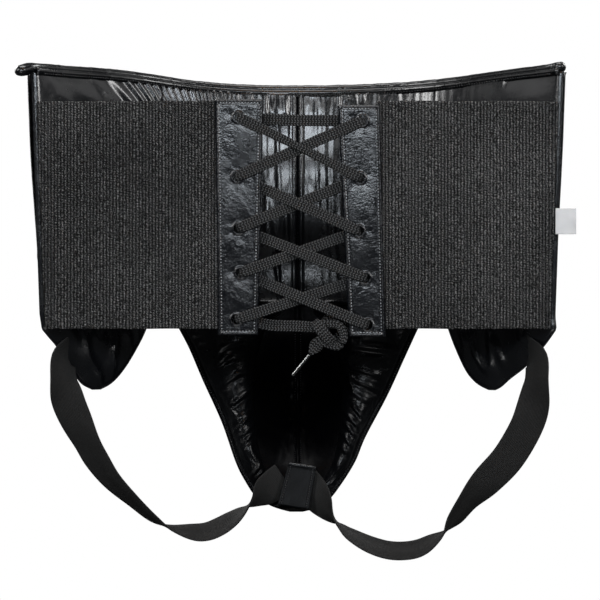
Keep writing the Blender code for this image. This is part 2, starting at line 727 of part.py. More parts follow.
def build_tag(mats):
    """Small folded care label that stands out of the right side seam."""
    low, high = -0.0133, 0.0049
    near, far = 0.1810, 0.1957
    verts = []
    for y in (-0.0516, -0.0509):
        verts += [(near, y, low), (far, y, low), (far, y, high), (near, y, high)]
    faces = [(0, 1, 2, 3), (4, 5, 6, 7), (0, 1, 5, 4), (1, 2, 6, 5), (2, 3, 7, 6), (3, 0, 4, 7)]
    add_object("care_tag", verts, faces, mats["tag"], origin=(near, -0.0512, -0.0042))


def main():
    for obj in list(bpy.data.objects):
        bpy.data.objects.remove(obj, do_unlink=True)
    mats = {
        "leather": material("leather", (0.012, 0.013, 0.016), 0.22),
        "lining": material("lining", (0.008, 0.008, 0.010), 0.35),
        "elastic": material("elastic", (0.020, 0.020, 0.021), 0.80),
        "webbing": material("webbing", (0.018, 0.018, 0.018), 0.75),
        "lace": material("lace", (0.016, 0.016, 0.017), 0.60),
        "foam": material("foam", (0.60, 0.58, 0.52), 0.90),
        "cup": material("cup", (0.80, 0.80, 0.78), 0.35),
        "metal": material("metal", (0.62, 0.62, 0.60), 0.25, 1.0),
        "tag": material("tag", (0.85, 0.85, 0.84), 0.65),
    }
    build_front(mats)
    build_waist_roll(mats)
    build_crotch(mats)
    build_cup_rolls(mats)
    build_tab(mats)
    build_elastics(mats)
    build_lacing_panels(mats)
    build_lace(mats)
    build_strap("left_leg_strap", LEFT_STRAP_ROUTE, mats["webbing"])
    build_strap("right_leg_strap", RIGHT_STRAP_ROUTE, mats["webbing"])
    build_tag(mats)


main()
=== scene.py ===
"""Looks of the groin protector: leather, elastic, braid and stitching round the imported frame."""
import math

import bmesh
import bpy
import numpy as np
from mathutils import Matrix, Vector, noise


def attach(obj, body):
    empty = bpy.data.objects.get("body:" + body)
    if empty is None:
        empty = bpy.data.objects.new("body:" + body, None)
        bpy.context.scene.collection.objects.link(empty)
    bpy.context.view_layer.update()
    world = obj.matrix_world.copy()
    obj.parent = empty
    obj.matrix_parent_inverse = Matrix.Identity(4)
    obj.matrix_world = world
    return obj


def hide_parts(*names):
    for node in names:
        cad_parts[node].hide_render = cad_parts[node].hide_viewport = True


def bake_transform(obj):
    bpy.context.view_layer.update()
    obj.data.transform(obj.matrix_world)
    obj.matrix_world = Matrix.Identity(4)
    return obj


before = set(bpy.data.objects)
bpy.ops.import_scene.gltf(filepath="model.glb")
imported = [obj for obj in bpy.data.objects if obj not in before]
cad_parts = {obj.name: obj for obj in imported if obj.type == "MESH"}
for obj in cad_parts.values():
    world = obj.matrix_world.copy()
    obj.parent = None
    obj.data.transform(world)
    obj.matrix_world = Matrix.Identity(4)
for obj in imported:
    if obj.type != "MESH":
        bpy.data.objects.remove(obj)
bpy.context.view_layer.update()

# ---- sizes shared with the frame ------------------------------------------------------------
LEATHER = 0.0012                     # thickness of the covers and linings
SEAM_Y = -0.0485                     # depth of the pad's side seams
PAD_RADIUS = 0.226                   # curve of the pad round the waist, at its top
PAD_CONE = 0.0436                    # how much that radius shrinks for each metre down
PAD_HALF_ANGLE = math.radians(54.73)
PAD_TOP_SIDE = 0.1035
PAD_TOP_CENTRE = 0.0965
BELLY_THICK = 0.025
HIP_THICK = 0.022
EDGE_THICK = 0.007                   # thickness of a section at its seams
EDGE_RUN = 0.030                     # distance over which it fills out
SECTION_SEAM = 0.100                 # x of the seams between belly and hips
LEFT_RISE = 0.0046                   # swell of the top edge on either side
RIGHT_RISE = 0.0020
SIDE_FULLNESS = {"left": 0.0042, "right": 0.0022}   # extra thickness along each side seam
ARCH_TOP = -0.062                    # lower edge of the belly section
BACK_SIDE_Y = -0.0500                # depth of the elastic back at its sides
BACK_BOW = 0.0070                    # and how far it bows out at the centre
ELASTIC_THICK = 0.0014
ELASTIC_TOP = 0.0800
ELASTIC_BOTTOM = -0.0797
PANEL_FACE = 0.0016                  # leather of the lacing panels, each side of the elastic
PANEL_BACKING = 0.0014
GAP = 0.0003                         # clearance between touching pieces
HOLE_RADIUS = 0.0035
LACE_WIDTH = 0.0080
LACE_THICK = 0.0014
LACE_HOLE_WIDTH = 0.0062             # the lace bunches up where it goes through a hole
LACE_HOLE_THICK = 0.0022
STRAP_WIDTH = 0.0235
STRAP_THICK = 0.0016
ROLL_RADIUS = 0.0030
CUP_CENTRE_Z = -0.132                # the oval recess of the cup
CUP_HALF_WIDTH = 0.041
CUP_HALF_HEIGHT = 0.060
CUP_DEPTH = 0.034
FLOOR_Z = -0.32
CAMERA_AIM = (0.00175, -0.0565, -0.0595)
CAMERA_DISTANCE = 1.75

# punched holes, x and z, from the top
LEFT_HOLES = [(-0.0414, 0.0683), (-0.0423, 0.0268), (-0.0414, -0.0094), (-0.0397, -0.0404),
              (-0.0428, -0.0730)]
RIGHT_HOLES = [(0.0456, 0.0660), (0.0438, 0.0259), (0.0429, -0.0112), (0.0474, -0.0440),
               (0.0491, -0.0770)]
# outlines seen from behind: z and x
LEFT_LOBE_OUT = [(-0.0800, -0.1770), (-0.0860, -0.1728), (-0.0930, -0.1678),
                 (-0.1030, -0.1635), (-0.1140, -0.1560), (-0.1200, -0.1515),
                 (-0.1240, -0.1450)]
LEFT_LOBE_IN = [(-0.0620, -0.1005), (-0.0655, -0.1045), (-0.0800, -0.1085), (-0.0920, -0.1138),
                (-0.1080, -0.1228), (-0.1190, -0.1318), (-0.1240, -0.1400)]
RIGHT_LOBE_OUT = [(-0.0800, 0.1790), (-0.0900, 0.1730), (-0.0990, 0.1665), (-0.1080, 0.1590),
                  (-0.1160, 0.1500), (-0.1220, 0.1440), (-0.1245, 0.1400)]
RIGHT_LOBE_IN = [(-0.0620, 0.1005), (-0.0655, 0.1040), (-0.0800, 0.1080), (-0.0950, 0.1133),
                 (-0.1110, 0.1205), (-0.1200, 0.1280), (-0.1245, 0.1360)]
CROTCH_LEFT = [(-0.0626, -0.0970), (-0.0800, -0.0875), (-0.0960, -0.0794), (-0.1200, -0.0693),
               (-0.1500, -0.0556), (-0.1780, -0.0453), (-0.1920, -0.0380), (-0.2030, -0.0300),
               (-0.2100, -0.0180), (-0.2135, -0.0060)]
CROTCH_RIGHT = [(-0.0626, 0.0970), (-0.0800, 0.0887), (-0.1010, 0.0792), (-0.1300, 0.0661),
                (-0.1600, 0.0499), (-0.1780, 0.0420), (-0.1950, 0.0310), (-0.2060, 0.0220),
                (-0.2110, 0.0140), (-0.2135, 0.0040)]
# middle lines of the leg straps from hip to crotch: x, y, z and turn in degrees
LEFT_STRAP_ROUTE = [
    (-0.1570, -0.0215, -0.0930, -30), (-0.1655, -0.0325, -0.1010, -45),
    (-0.1655, -0.0368, -0.1164, -42),
    (-0.1626, -0.0350, -0.1308, -8), (-0.1570, -0.0322, -0.1451, 12),
    (-0.1503, -0.0297, -0.1595, 32), (-0.1426, -0.0272, -0.1739, 37),
    (-0.1324, -0.0247, -0.1883, 49), (-0.1176, -0.0217, -0.2029, 62),
    (-0.1024, -0.0187, -0.2165, 72), (-0.0904, -0.0162, -0.2229, 92),
    (-0.0760, -0.0132, -0.2260, 113), (-0.0653, -0.0112, -0.2258, 119),
    (-0.0560, -0.0097, -0.2222, 120), (-0.0474, -0.0082, -0.2168, 115),
    (-0.0395, -0.0062, -0.2105, 100), (-0.0315, -0.0040, -0.2045, 70),
    (-0.0229, -0.0010, -0.1972, 25), (-0.0100, 0.0060, -0.1885, 0)]
RIGHT_STRAP_ROUTE = [
    (0.1590, -0.0245, -0.0930, 30), (0.1685, -0.0365, -0.1010, 48),
    (0.1690, -0.0396, -0.1164, 50),
    (0.1676, -0.0364, -0.1308, 26), (0.1640, -0.0339, -0.1451, 2),
    (0.1572, -0.0314, -0.1595, 0), (0.1480, -0.0289, -0.1739, -5),
    (0.1348, -0.0264, -0.1883, -17), (0.1218, -0.0239, -0.2029, -46),
    (0.1120, -0.0219, -0.2165, -60), (0.1043, -0.0204, -0.2262, -88),
    (0.0960, -0.0189, -0.2321, -107), (0.0862, -0.0174, -0.2373, -116),
    (0.0750, -0.0159, -0.2392, -118), (0.0638, -0.0144, -0.2385, -118),
    (0.0523, -0.0129, -0.2350, -116), (0.0415, -0.0114, -0.2297, -110),
    (0.0343, -0.0104, -0.2249, -102), (0.0271, -0.0089, -0.2180, -85),
    (0.0198, -0.0035, -0.2086, -45), (0.0119, 0.0030, -0.1993, -12),
    (0.0039, 0.0085, -0.1899, 0)]


# ---- camera, light and stage ----------------------------------------------------------------
def make_camera():
    """Camera behind the wearer, level, at the photograph's distance."""
    data = bpy.data.cameras.new("camera")
    data.lens = 150.0
    data.sensor_width = 36.0
    data.clip_end = 50.0
    cam = bpy.data.objects.new("camera", data)
    cam.location = Vector(CAMERA_AIM) - Vector((0, CAMERA_DISTANCE, 0))
    cam.rotation_euler = (math.radians(90), 0, 0)
    bpy.context.scene.collection.objects.link(cam)
    bpy.context.scene.camera = cam


def area_light(name, location, target, size, power, colour=(1, 1, 1)):
    """A rectangular softbox that looks at target."""
    data = bpy.data.lights.new(name, "AREA")
    data.shape = "RECTANGLE"
    data.size, data.size_y = size
    data.energy = power
    data.color = colour
    light = bpy.data.objects.new(name, data)
    light.location = location
    direction = Vector(target) - Vector(location)
    light.rotation_euler = direction.to_track_quat("-Z", "Y").to_euler()
    bpy.context.scene.collection.objects.link(light)


def make_lights():
    """Softboxes on all sides, with narrow ones that draw streaks on the leather."""
    middle = (0, 0.02, -0.06)
    area_light("key_left", (-1.6, -1.5, 1.1), middle, (0.35, 1.3), 30)
    area_light("key_right", (1.7, -1.3, 0.8), middle, (0.30, 1.2), 22)
    area_light("top", (0, 0.1, 2.2), middle, (1.6, 1.0), 30)
    area_light("camera_side", (0.1, -2.9, 1.1), middle, (1.3, 0.7), 8)
    area_light("near_camera", (0.03, -0.95, 0.27), (0, 0, 0.04), (0.50, 0.11), 3.4,
               (0.84, 0.92, 1.0))
    area_light("over_left", (-2.2, 0.0, 1.0), middle, (1.2, 1.2), 4)
    area_light("over_right", (2.2, 0.0, 1.0), middle, (1.2, 1.2), 3.5)
    area_light("warm", (0.05, -0.60, 0.95), (0, 0.03, 0.09), (0.5, 0.05), 0.8, (1.0, 0.45, 0.12))
    area_light("front_left", (-1.4, 1.9, 0.9), middle, (0.6, 1.4), 30)
    area_light("front_right", (1.5, 1.8, 1.2), middle, (0.5, 1.3), 26)
    area_light("under", (0.0, -1.6, -1.3), middle, (1.2, 0.3), 6)


def make_world():
    """Dim neutral surround."""
    world = bpy.data.worlds.new("studio")
    bpy.context.scene.world = world
    world.use_nodes = True
    shader = world.node_tree.nodes["Background"]
    shader.inputs["Color"].default_value = (0.92, 0.96, 1.0, 1)
    shader.inputs["Strength"].default_value = 0.06
    bpy.context.scene.view_settings.view_transform = "Standard"


def emission_material(name, colour, strength):
    """A plain glowing surface."""
    mat = bpy.data.materials.new(name)
    mat.use_nodes = True
    tree = mat.node_tree
    tree.nodes.clear()
    out = tree.nodes.new("ShaderNodeOutputMaterial")
    glow = tree.nodes.new("ShaderNodeEmission")
    glow.inputs["Color"].default_value = (*colour, 1)
    glow.inputs["Strength"].default_value = strength
    tree.links.new(glow.outputs[0], out.inputs[0])
    return mat


def make_stage():
    """Pale floor and a round pale wall, seen by the camera and left out of reflections."""
    pale = emission_material("pale_paper", (1.0, 1.0, 1.0), 1.0)
    bpy.ops.mesh.primitive_uv_sphere_add(segments=48, ring_count=24, radius=8.0)
    wall = bpy.context.object
    wall.name = "backdrop"
    bpy.ops.mesh.primitive_circle_add(vertices=64, radius=2.5, fill_type="NGON",
                                      location=(0, 0, FLOOR_Z))
    floor = bpy.context.object
    floor.name = "floor"
    for obj in (wall, floor):
        obj.data.materials.append(pale)
        obj.visible_glossy = False
        obj.visible_diffuse = False
        obj.visible_shadow = False
        obj.visible_transmission = False


# ---- material building ----------------------------------------------------------------------
class Nodes:
    """Short hand for building one material's node tree."""

    def __init__(self, name, colour, roughness, **sockets):
        self.mat = bpy.data.materials.new(name)
        self.mat.use_nodes = True
        self.tree = self.mat.node_tree
        self.shader = self.tree.nodes["Principled BSDF"]
        self.shader.inputs["Base Color"].default_value = (*colour, 1)
        self.shader.inputs["Roughness"].default_value = roughness
        for key, value in sockets.items():
            self.shader.inputs[key.replace("_", " ")].default_value = value
        self.place = self.tree.nodes.new("ShaderNodeTexCoord")
        self.height = None

    def put(self, kind, inputs=None, **settings):
        node = self.tree.nodes.new(kind)
        for key, value in settings.items():
            setattr(node, key, value)
        for key, value in (inputs or {}).items():
            self.feed(node.inputs[key], value)
        return node

    def feed(self, socket, value):
        if isinstance(value, bpy.types.NodeSocket):
            self.tree.links.new(value, socket)
        else:
            socket.default_value = value

    def math(self, operation, a, b=0.0, clamp=False):
        node = self.put("ShaderNodeMath", operation=operation, use_clamp=clamp)
        self.feed(node.inputs[0], a)
        self.feed(node.inputs[1], b)
        return node.outputs[0]

    def axes(self, source="Object"):
        split = self.put("ShaderNodeSeparateXYZ", {"Vector": self.place.outputs[source]})
        return split.outputs

    def noise(self, scale, detail=2.0, rough=0.5, vector=None):
        node = self.put("ShaderNodeTexNoise", {"Scale": scale, "Detail": detail,
                                               "Roughness": rough})
        self.feed(node.inputs["Vector"], vector or self.place.outputs["Object"])
        return node.outputs["Fac"]

    def stretched(self, x, y, z):
        node = self.put("ShaderNodeMapping", {"Vector": self.place.outputs["Object"],
                                              "Scale": (x, y, z)})
        return node.outputs["Vector"]

    def voronoi(self, scale, feature="F1"):
        node = self.put("ShaderNodeTexVoronoi", {"Scale": scale,
                                                 "Vector": self.place.outputs["Object"]},
                        feature=feature)
        return node.outputs["Distance"]

    def wave(self, axis, period):
        """Sine along one coordinate, from 0 to 1."""
        turned = self.math("SINE", self.math("MULTIPLY", axis, 2 * math.pi / period))
        return self.math("ADD", self.math("MULTIPLY", turned, 0.5), 0.5)

    def mix(self, factor, low, high):
        node = self.put("ShaderNodeMix", data_type="RGBA")
        self.feed(node.inputs[0], factor)
        self.feed(node.inputs[6], (*low, 1) if isinstance(low, tuple) else low)
        self.feed(node.inputs[7], (*high, 1) if isinstance(high, tuple) else high)
        return node.outputs[2]

    def remap(self, value, low, high, to_low, to_high):
        node = self.put("ShaderNodeMapRange", {"Value": value, "From Min": low,
                                               "From Max": high, "To Min": to_low,
                                               "To Max": to_high})
        return node.outputs[0]

    def bump(self, height, distance, strength=1.0):
        node = self.put("ShaderNodeBump", {"Height": height, "Distance": distance,
                                           "Strength": strength})
        if self.height:
            self.feed(node.inputs["Normal"], self.height)
        self.height = node.outputs[0]
        self.feed(self.shader.inputs["Normal"], self.height)

    def colour(self, value):
        self.feed(self.shader.inputs["Base Color"], value)

    def roughness(self, value):
        self.feed(self.shader.inputs["Roughness"], value)


def leather_material(name, dark, light, rough, grain=1.0, coat=0.35, specular=0.5, crumple=1.0):
    """Coated black leather: fine pebble grain, patchy gloss, colour paler on sharp convex ridges."""
    n = Nodes(name, dark, rough, Coat_Weight=coat, Coat_Roughness=0.12,
              Specular_IOR_Level=specular)
    patches = n.noise(26.0, 4.0)
    pointy = n.put("ShaderNodeNewGeometry").outputs["Pointiness"]
    # colour grows paler where the surface is sharply convex (pointiness)
    convex_paling = n.remap(pointy, 0.51, 0.60, 0.0, 0.5)
    base = n.mix(n.remap(patches, 0.35, 0.7, 0.0, 1.0), dark, light)
    n.colour(n.mix(convex_paling, base, tuple(min(1.0, c * 2.2) for c in light)))
    n.roughness(n.remap(n.noise(60.0, 5.0, 0.6), 0.3, 0.7, rough - 0.06, rough + 0.08))
    pebble = n.voronoi(1100.0, "SMOOTH_F1")
    n.bump(pebble, 0.00012 * grain, 0.5)
    n.bump(n.noise(420.0, 3.0), 0.00018 * grain, 0.6)
    n.bump(n.noise(90.0, 3.0, 0.55), 0.0006 * grain * crumple, 0.35)
    return n.mat


def elastic_material():
    """Ribbed woven elastic: each rib is a column of short threads, with painted shade in the gaps
    between ribs and threads, painted light on the rib tops, and random flecks.
    """
    n = Nodes("ribbed_elastic", (0.02, 0.02, 0.02), 0.9, Specular_IOR_Level=0.15)
    x, _, z = n.axes()[:3]
    rib = n.wave(x, RIB_PITCH)
    column = n.math("FLOOR", n.math("DIVIDE", x, RIB_PITCH))
    wobble = n.math("MULTIPLY", n.noise(520.0, 2.0), 0.0016)
    height = n.math("ADD", n.math("ADD", z, wobble), n.math("MULTIPLY", column, 0.00067))
    slant = n.math("ADD", height, n.math("MULTIPLY", x, 0.6))
    dash = n.wave(slant, 0.0017)
    speck = n.remap(n.noise(1250.0, 2.0, 0.7), 0.38, 0.64, 0.0, 1.0)
    woven = n.math("MULTIPLY", n.math("POWER", rib, 0.7),
                   n.math("ADD", n.math("MULTIPLY", dash, 0.6), 0.4))
    # colour: the rib and thread pattern paints shade into the gaps and light onto the rib tops; the
    # flecks and cloud are random tone
    tone = n.math("ADD", n.math("MULTIPLY", woven, 0.42), n.math("MULTIPLY", speck, 0.60))
    cloud = n.remap(n.noise(9.0, 2.0), 0.3, 0.7, -0.05, 0.05)
    bright = n.math("POWER", n.remap(n.math("ADD", tone, cloud), 0.18, 0.90, 0.0, 1.0), 2.9)
    n.colour(n.mix(bright, (0.0010, 0.0010, 0.0011), (0.205, 0.204, 0.202)))
    n.bump(woven, 0.0004, 0.8)
    n.bump(speck, 0.0002, 0.5)
    return n.mat


def webbing_material():
    """Smooth narrow elastic webbing with a fine lengthwise weave, with painted shade in the weave's
    low points.
    """
    n = Nodes("leg_webbing", (0.02, 0.02, 0.02), 0.85, Specular_IOR_Level=0.2)
    u, v, _ = n.axes("UV")[:3]
    length = n.wave(v, 0.10)
    cross = n.wave(n.math("ADD", u, n.math("MULTIPLY", v, 0.5)), 0.085)
    height = n.math("ADD", n.math("MULTIPLY", length, 0.5), n.math("MULTIPLY", cross, 0.5))
    speck = n.noise(1300.0, 2.0, 0.7)
    tone = n.math("ADD", n.math("MULTIPLY", height, 0.5), n.math("MULTIPLY", speck, 0.5))
    # colour: painted shade where the weave is low and paler raised threads, plus random flecks
    n.colour(n.mix(n.remap(tone, 0.35, 0.70, 0.0, 1.0), (0.0008, 0.0008, 0.0008),
                   (0.0240, 0.0236, 0.0230)))
    n.bump(height, 0.0002, 0.6)
    return n.mat


def braid_material():
    """Flat braid: crossing strands, with painted shade in the gaps between them and painted highlights
    on their crowns.
    """
    n = Nodes("braided_lace", (0.03, 0.03, 0.03), 0.8, Specular_IOR_Level=0.2)
    u, v, _ = n.axes("UV")[:3]
    column = BRAID_COLUMN * 100
    shifted = n.math("ADD", v, column * 0.5 + column * 40)
    fold = n.math("PINGPONG", shifted, column)
    run = n.math("ADD", u, n.math("MULTIPLY", fold, 0.8))
    turn = n.math("SINE", n.math("MULTIPLY", run, math.pi / (BRAID_PITCH * 100)))
    strand = n.math("POWER", n.math("ABSOLUTE", turn), 1.6)
    middle = n.math("SINE", n.math("MULTIPLY", fold, math.pi / column))
    strands = n.math("MULTIPLY", strand, n.math("POWER", middle, 0.5))
    fibres = n.noise(2600.0, 2.0, 0.6)
    tone = n.math("ADD", n.math("MULTIPLY", strands, 0.8), n.math("MULTIPLY", fibres, 0.3))
    # colour: the dark gaps are painted shade and the pale strand crowns painted highlight; the fibres
    # add random tone
    n.colour(n.mix(n.math("POWER", n.remap(tone, 0.22, 0.95, 0.0, 1.0), 1.8),
                   (0.0004, 0.0004, 0.0005), (0.088, 0.089, 0.090)))
    n.bump(strands, 0.0005, 0.8)
    n.bump(fibres, 0.0001, 0.6)
    return n.mat


def thread_material(name, dark, light):
    """Polyester thread with a slight twist."""
    n = Nodes(name, dark, 0.5)
    n.colour(n.mix(n.noise(900.0), dark, light))
    n.bump(n.noise(3000.0), 0.0001, 0.5)
    return n.mat


def foam_material():
    """Closed-cell foam."""
    n = Nodes("foam", (0.60, 0.58, 0.52), 0.9)
    cells = n.voronoi(900.0)
    n.colour(n.mix(cells, (0.50, 0.48, 0.42), (0.68, 0.66, 0.60)))
    n.bump(cells, 0.0004, 0.6)
    return n.mat


def plastic_material():
    """Moulded cup plastic with a faint moulding texture."""
    n = Nodes("cup_plastic", (0.8, 0.8, 0.78), 0.34)
    n.colour(n.mix(n.noise(18.0), (0.76, 0.76, 0.74), (0.84, 0.84, 0.82)))
    n.roughness(n.remap(n.noise(150.0), 0.3, 0.7, 0.28, 0.42))
    n.bump(n.noise(500.0), 0.0001, 0.4)
    return n.mat


def metal_material():
    """Rolled aglet metal with fine scratches."""
    n = Nodes("aglet_metal", (0.55, 0.55, 0.54), 0.24, Metallic=1.0)
    scratches = n.noise(300.0, 4.0, 0.6, n.stretched(6.0, 1.0, 1.0))
    n.colour(n.mix(scratches, (0.10, 0.10, 0.098), (0.30, 0.30, 0.29)))
    n.roughness(n.remap(scratches, 0.3, 0.7, 0.16, 0.36))
    n.bump(scratches, 0.0001, 0.3)
    return n.mat


def tag_material():
    """White woven label satin."""
    n = Nodes("label_satin", (0.85, 0.85, 0.84), 0.6, Sheen_Weight=0.1)
    x, _, z = n.axes()[:3]
    weave = n.math("MULTIPLY", n.wave(x, 0.0006), n.wave(z, 0.0005))
    n.colour(n.mix(n.noise(120.0, 3.0), (0.50, 0.50, 0.51), (0.60, 0.60, 0.60)))
    n.bump(weave, 0.0001, 0.5)
    return n.mat


RIB_PITCH = 0.0023          # ribs of the elastic
BRAID_PITCH = 0.0021        # strand spacing along a braid
BRAID_COLUMN = 0.0016       # width of one plaited column


# ---- small maths ----------------------------------------------------------------------------
def smooth(value):
    """Smooth step from 0 to 1."""
    value = np.clip(value, 0.0, 1.0)
    return value * value * (3.0 - 2.0 * value)


def catmull(points, steps):
    """Smooth curve through points of any dimension."""
    pts = np.array([points[0]] + list(points) + [points[-1]], float)
    t = (np.arange(steps) / steps)[:, None]
    found = []
    for k in range(len(pts) - 3):
        a, b, c, d = pts[k:k + 4]
        found.append(0.5 * (2 * b + (c - a) * t + (2 * a - 5 * b + 4 * c - d) * t ** 2
                            + (3 * b - a - 3 * c + d) * t ** 3))
    return np.vstack(found + [pts[-1:]])


def outline(table):
    """Heights and x values of a smooth outline, for np.interp (heights rising)."""
    dense = catmull(table, 12)
    order = np.argsort(dense[:, 0])
    return dense[order, 0], dense[order, 1]


OUTLINES = {
    "left_out": outline(LEFT_LOBE_OUT), "left_in": outline(LEFT_LOBE_IN),
    "right_out": outline(RIGHT_LOBE_OUT), "right_in": outline(RIGHT_LOBE_IN),
    "crotch_left": outline(CROTCH_LEFT), "crotch_right": outline(CROTCH_RIGHT),
}


def edge_at(name, z):
    """x of a named outline at heights z."""
    heights, values = OUTLINES[name]
    return np.interp(z, heights, values)


def noise_at(x, y, z):
    """Smooth noise from -1 to 1 at arrays of coordinates."""
    flat = np.broadcast_arrays(x, y, z)
    found = [noise.noise((float(a), float(b), float(c))) for a, b, c in
             zip(*(f.ravel() for f in flat))]
    return np.array(found).reshape(flat[0].shape)


def creases(value, sharp=2.0):
    """Narrow ridges where a noise value crosses zero."""
    return np.clip(1.0 - np.abs(value) * sharp * 2.0, 0.0, 1.0) ** 1.5


# ---- the pad's surfaces ---------------------------------------------------------------------
def pad_radius(z):
    """Radius of the pad's inner face."""
    return PAD_RADIUS - PAD_CONE * (PAD_TOP_SIDE - z)


def seam_x(z):
    """Distance of the side seams from the centre plane."""
    return pad_radius(z) * math.sin(PAD_HALF_ANGLE)


def axis_y(z):
    """Depth of the axis that the pad curves round."""
    return SEAM_Y - pad_radius(z) * math.cos(PAD_HALF_ANGLE)


def top_z(x):
    """Height of the waist edge: lowest in the middle, with a swell on either side."""
    side = np.minimum(np.abs(x) / seam_x(PAD_TOP_SIDE), 1.0)
    left = LEFT_RISE * np.exp(-((x + 0.128) / 0.048) ** 2)
    right = RIGHT_RISE * np.exp(-((x - 0.150) / 0.040) ** 2)
    return PAD_TOP_CENTRE + (PAD_TOP_SIDE - PAD_TOP_CENTRE) * side ** 2 + left + right


def pad_points(x, z, out):
    """Points of the pad at x on its inner face, moved outwards by out."""
    radius = pad_radius(z)
    angle = np.arcsin(np.clip(x / radius, -1.0, 1.0))
    radius = radius + out
    return np.stack([radius * np.sin(angle), axis_y(z) + radius * np.cos(angle), z + 0 * x], -1)


def under_top(x, z):
    """Heights of a level grid, stretched so that its top row follows the waist edge."""
    share = np.clip((z - ARCH_TOP) / (PAD_TOP_SIDE - 0.003 - ARCH_TOP), 0.0, 1.0)
    return z + (top_z(x) - PAD_TOP_SIDE) * share


def crotch_base_y(x, z):
    """Depth of the crotch panel's inner face, curling towards the wearer at its foot."""
    radius = pad_radius(z)
    curl = 0.032 * smooth((-0.120 - z) / 0.100)
    return axis_y(z) + np.sqrt(radius ** 2 - x ** 2) - curl


def recess(x, z):
    """How far the cup recess goes in."""
    q = np.hypot(x / CUP_HALF_WIDTH, (z - CUP_CENTRE_Z) / CUP_HALF_HEIGHT)
    return CUP_DEPTH * 0.5 * (1.0 + np.cos(np.minimum(q, 1.0) * math.pi))


def crotch_out(x, z):
    """Depth of the crotch panel's outer face, domed over the cup."""
    left, right = edge_at("crotch_left", z), edge_at("crotch_right", z)
    inside = np.minimum(np.minimum(x - left, right - x), z + 0.216)
    rim = 0.0095 + 0.0130 * smooth(inside / 0.030)
    q = np.hypot(x / 0.066, (z - CUP_CENTRE_Z) / 0.086)
    return crotch_base_y(x, z) + rim + 0.036 * np.cos(np.minimum(q, 1.0) * math.pi / 2)


def back_y(x):
    """Depth of the elastic back."""
    return BACK_SIDE_Y - BACK_BOW * np.cos(np.minimum(np.abs(x) / seam_x(0.0), 1.0)
                                           * math.pi / 2)


# ---- mesh building --------------------------------------------------------------------------
def new_mesh(name, verts, faces, mat, uvs=None, smooth_faces=True):
    """A mesh object with faces turned outwards."""
    mesh = bpy.data.meshes.new(name)
    mesh.from_pydata([tuple(v) for v in verts], [], faces)
    bm = bmesh.new()
    bm.from_mesh(mesh)
    if uvs is not None:
        layer = bm.loops.layers.uv.new("cloth")
        for face in bm.faces:
            for loop in face.loops:
                loop[layer].uv = uvs[loop.vert.index]
    bmesh.ops.recalc_face_normals(bm, faces=bm.faces)
    bm.to_mesh(mesh)
    bm.free()
    if smooth_faces:
        mesh.shade_smooth()
    mesh.materials.append(mat)
    obj = bpy.data.objects.new(name, mesh)
    bpy.context.scene.collection.objects.link(obj)
    return obj


def grid_faces(rows, columns, first=0):
    """Quads of a grid whose points start at index first."""
    faces = []
    for r in range(rows - 1):
        for c in range(columns - 1):
            a = first + r * columns + c
            faces.append((a, a + 1, a + columns + 1, a + columns))
    return faces


def closed_sheet(name, near, far, mat):
    """A closed solid between two grids of points of the same shape."""
    rows, columns = near.shape[:2]
    verts = np.vstack([near.reshape(-1, 3), far.reshape(-1, 3)])
    count = rows * columns
    faces = grid_faces(rows, columns) + grid_faces(rows, columns, count)
    rim = ([(0, c) for c in range(columns)] + [(r, columns - 1) for r in range(1, rows)]
           + [(rows - 1, c) for c in range(columns - 2, -1, -1)]
           + [(r, 0) for r in range(rows - 2, 0, -1)])
    for (r0, c0), (r1, c1) in zip(rim, rim[1:] + rim[:1]):
        a, b = r0 * columns + c0, r1 * columns + c1
        faces.append((a, b, b + count, a + count))
    return new_mesh(name, verts, faces, mat)


def row_grid(heights, left, right, columns):
    """x and z arrays of rows between two edges."""
    u = np.linspace(0.0, 1.0, columns)[None, :]
    z = np.repeat(np.asarray(heights)[:, None], columns, 1)
    x = left[:, None] * (1 - u) + right[:, None] * u
    return x, z


def finish_piece(obj, body, slot, *nodes):
    """Rides a body and stands for its CAD nodes; slot is not used."""
    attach(obj, body)
    if nodes:
        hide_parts(*nodes)
    return obj


def stitches(name, path, outward, mat, pitch=0.0021, length=0.0011, thick=0.0008, lift=0.0001):
    """Raised stitches along a path of points; outward gives the surface's normal at each."""
    path = np.asarray(path, float)
    outward = np.broadcast_to(np.asarray(outward, float), path.shape)
    steps = np.linalg.norm(np.diff(path, axis=0), axis=1)
    run = np.concatenate([[0], np.cumsum(steps)])
    count = max(int(run[-1] / pitch), 1)
    verts, faces = [], []
    for k in range(count):
        middle = (k + 0.5) * run[-1] / count
        ends = [middle - length / 2, middle + length / 2]
        p = [np.array([np.interp(s, run, path[:, i]) for i in range(3)]) for s in ends]
        n = np.array([np.interp(middle, run, outward[:, i]) for i in range(3)])
        n /= np.linalg.norm(n)
        along = (p[1] - p[0]) / max(np.linalg.norm(p[1] - p[0]), 1e-9)
        side = np.cross(along, n)
        first = len(verts)
        for share, size, rise in ((0.0, 0.55, -0.5), (0.25, 1.0, 0.35), (0.75, 1.0, 0.35),
                                  (1.0, 0.55, -0.5)):
            centre = p[0] + (p[1] - p[0]) * share + n * (lift + thick * rise)
            for turn in range(6):
                angle = turn * math.pi / 3
                verts.append(centre + side * (thick / 2 * size * math.cos(angle))
                             + n * (thick / 2 * size * math.sin(angle)))
        for ring in range(3):
            for t in range(6):
                a = first + ring * 6 + t
                b = first + ring * 6 + (t + 1) % 6
                faces.append((a, b, b + 6, a + 6))
        faces.append(tuple(first + t for t in range(6)))
        faces.append(tuple(first + 18 + t for t in range(6)))
    return new_mesh(name, verts, faces, mat)


# ---- cloth ----------------------------------------------------------------------------------
def coordinates(mesh):
    """A mesh's points as an array."""
    flat = np.empty(len(mesh.vertices) * 3)
    mesh.vertices.foreach_get("co", flat)
    return flat.reshape(-1, 3)


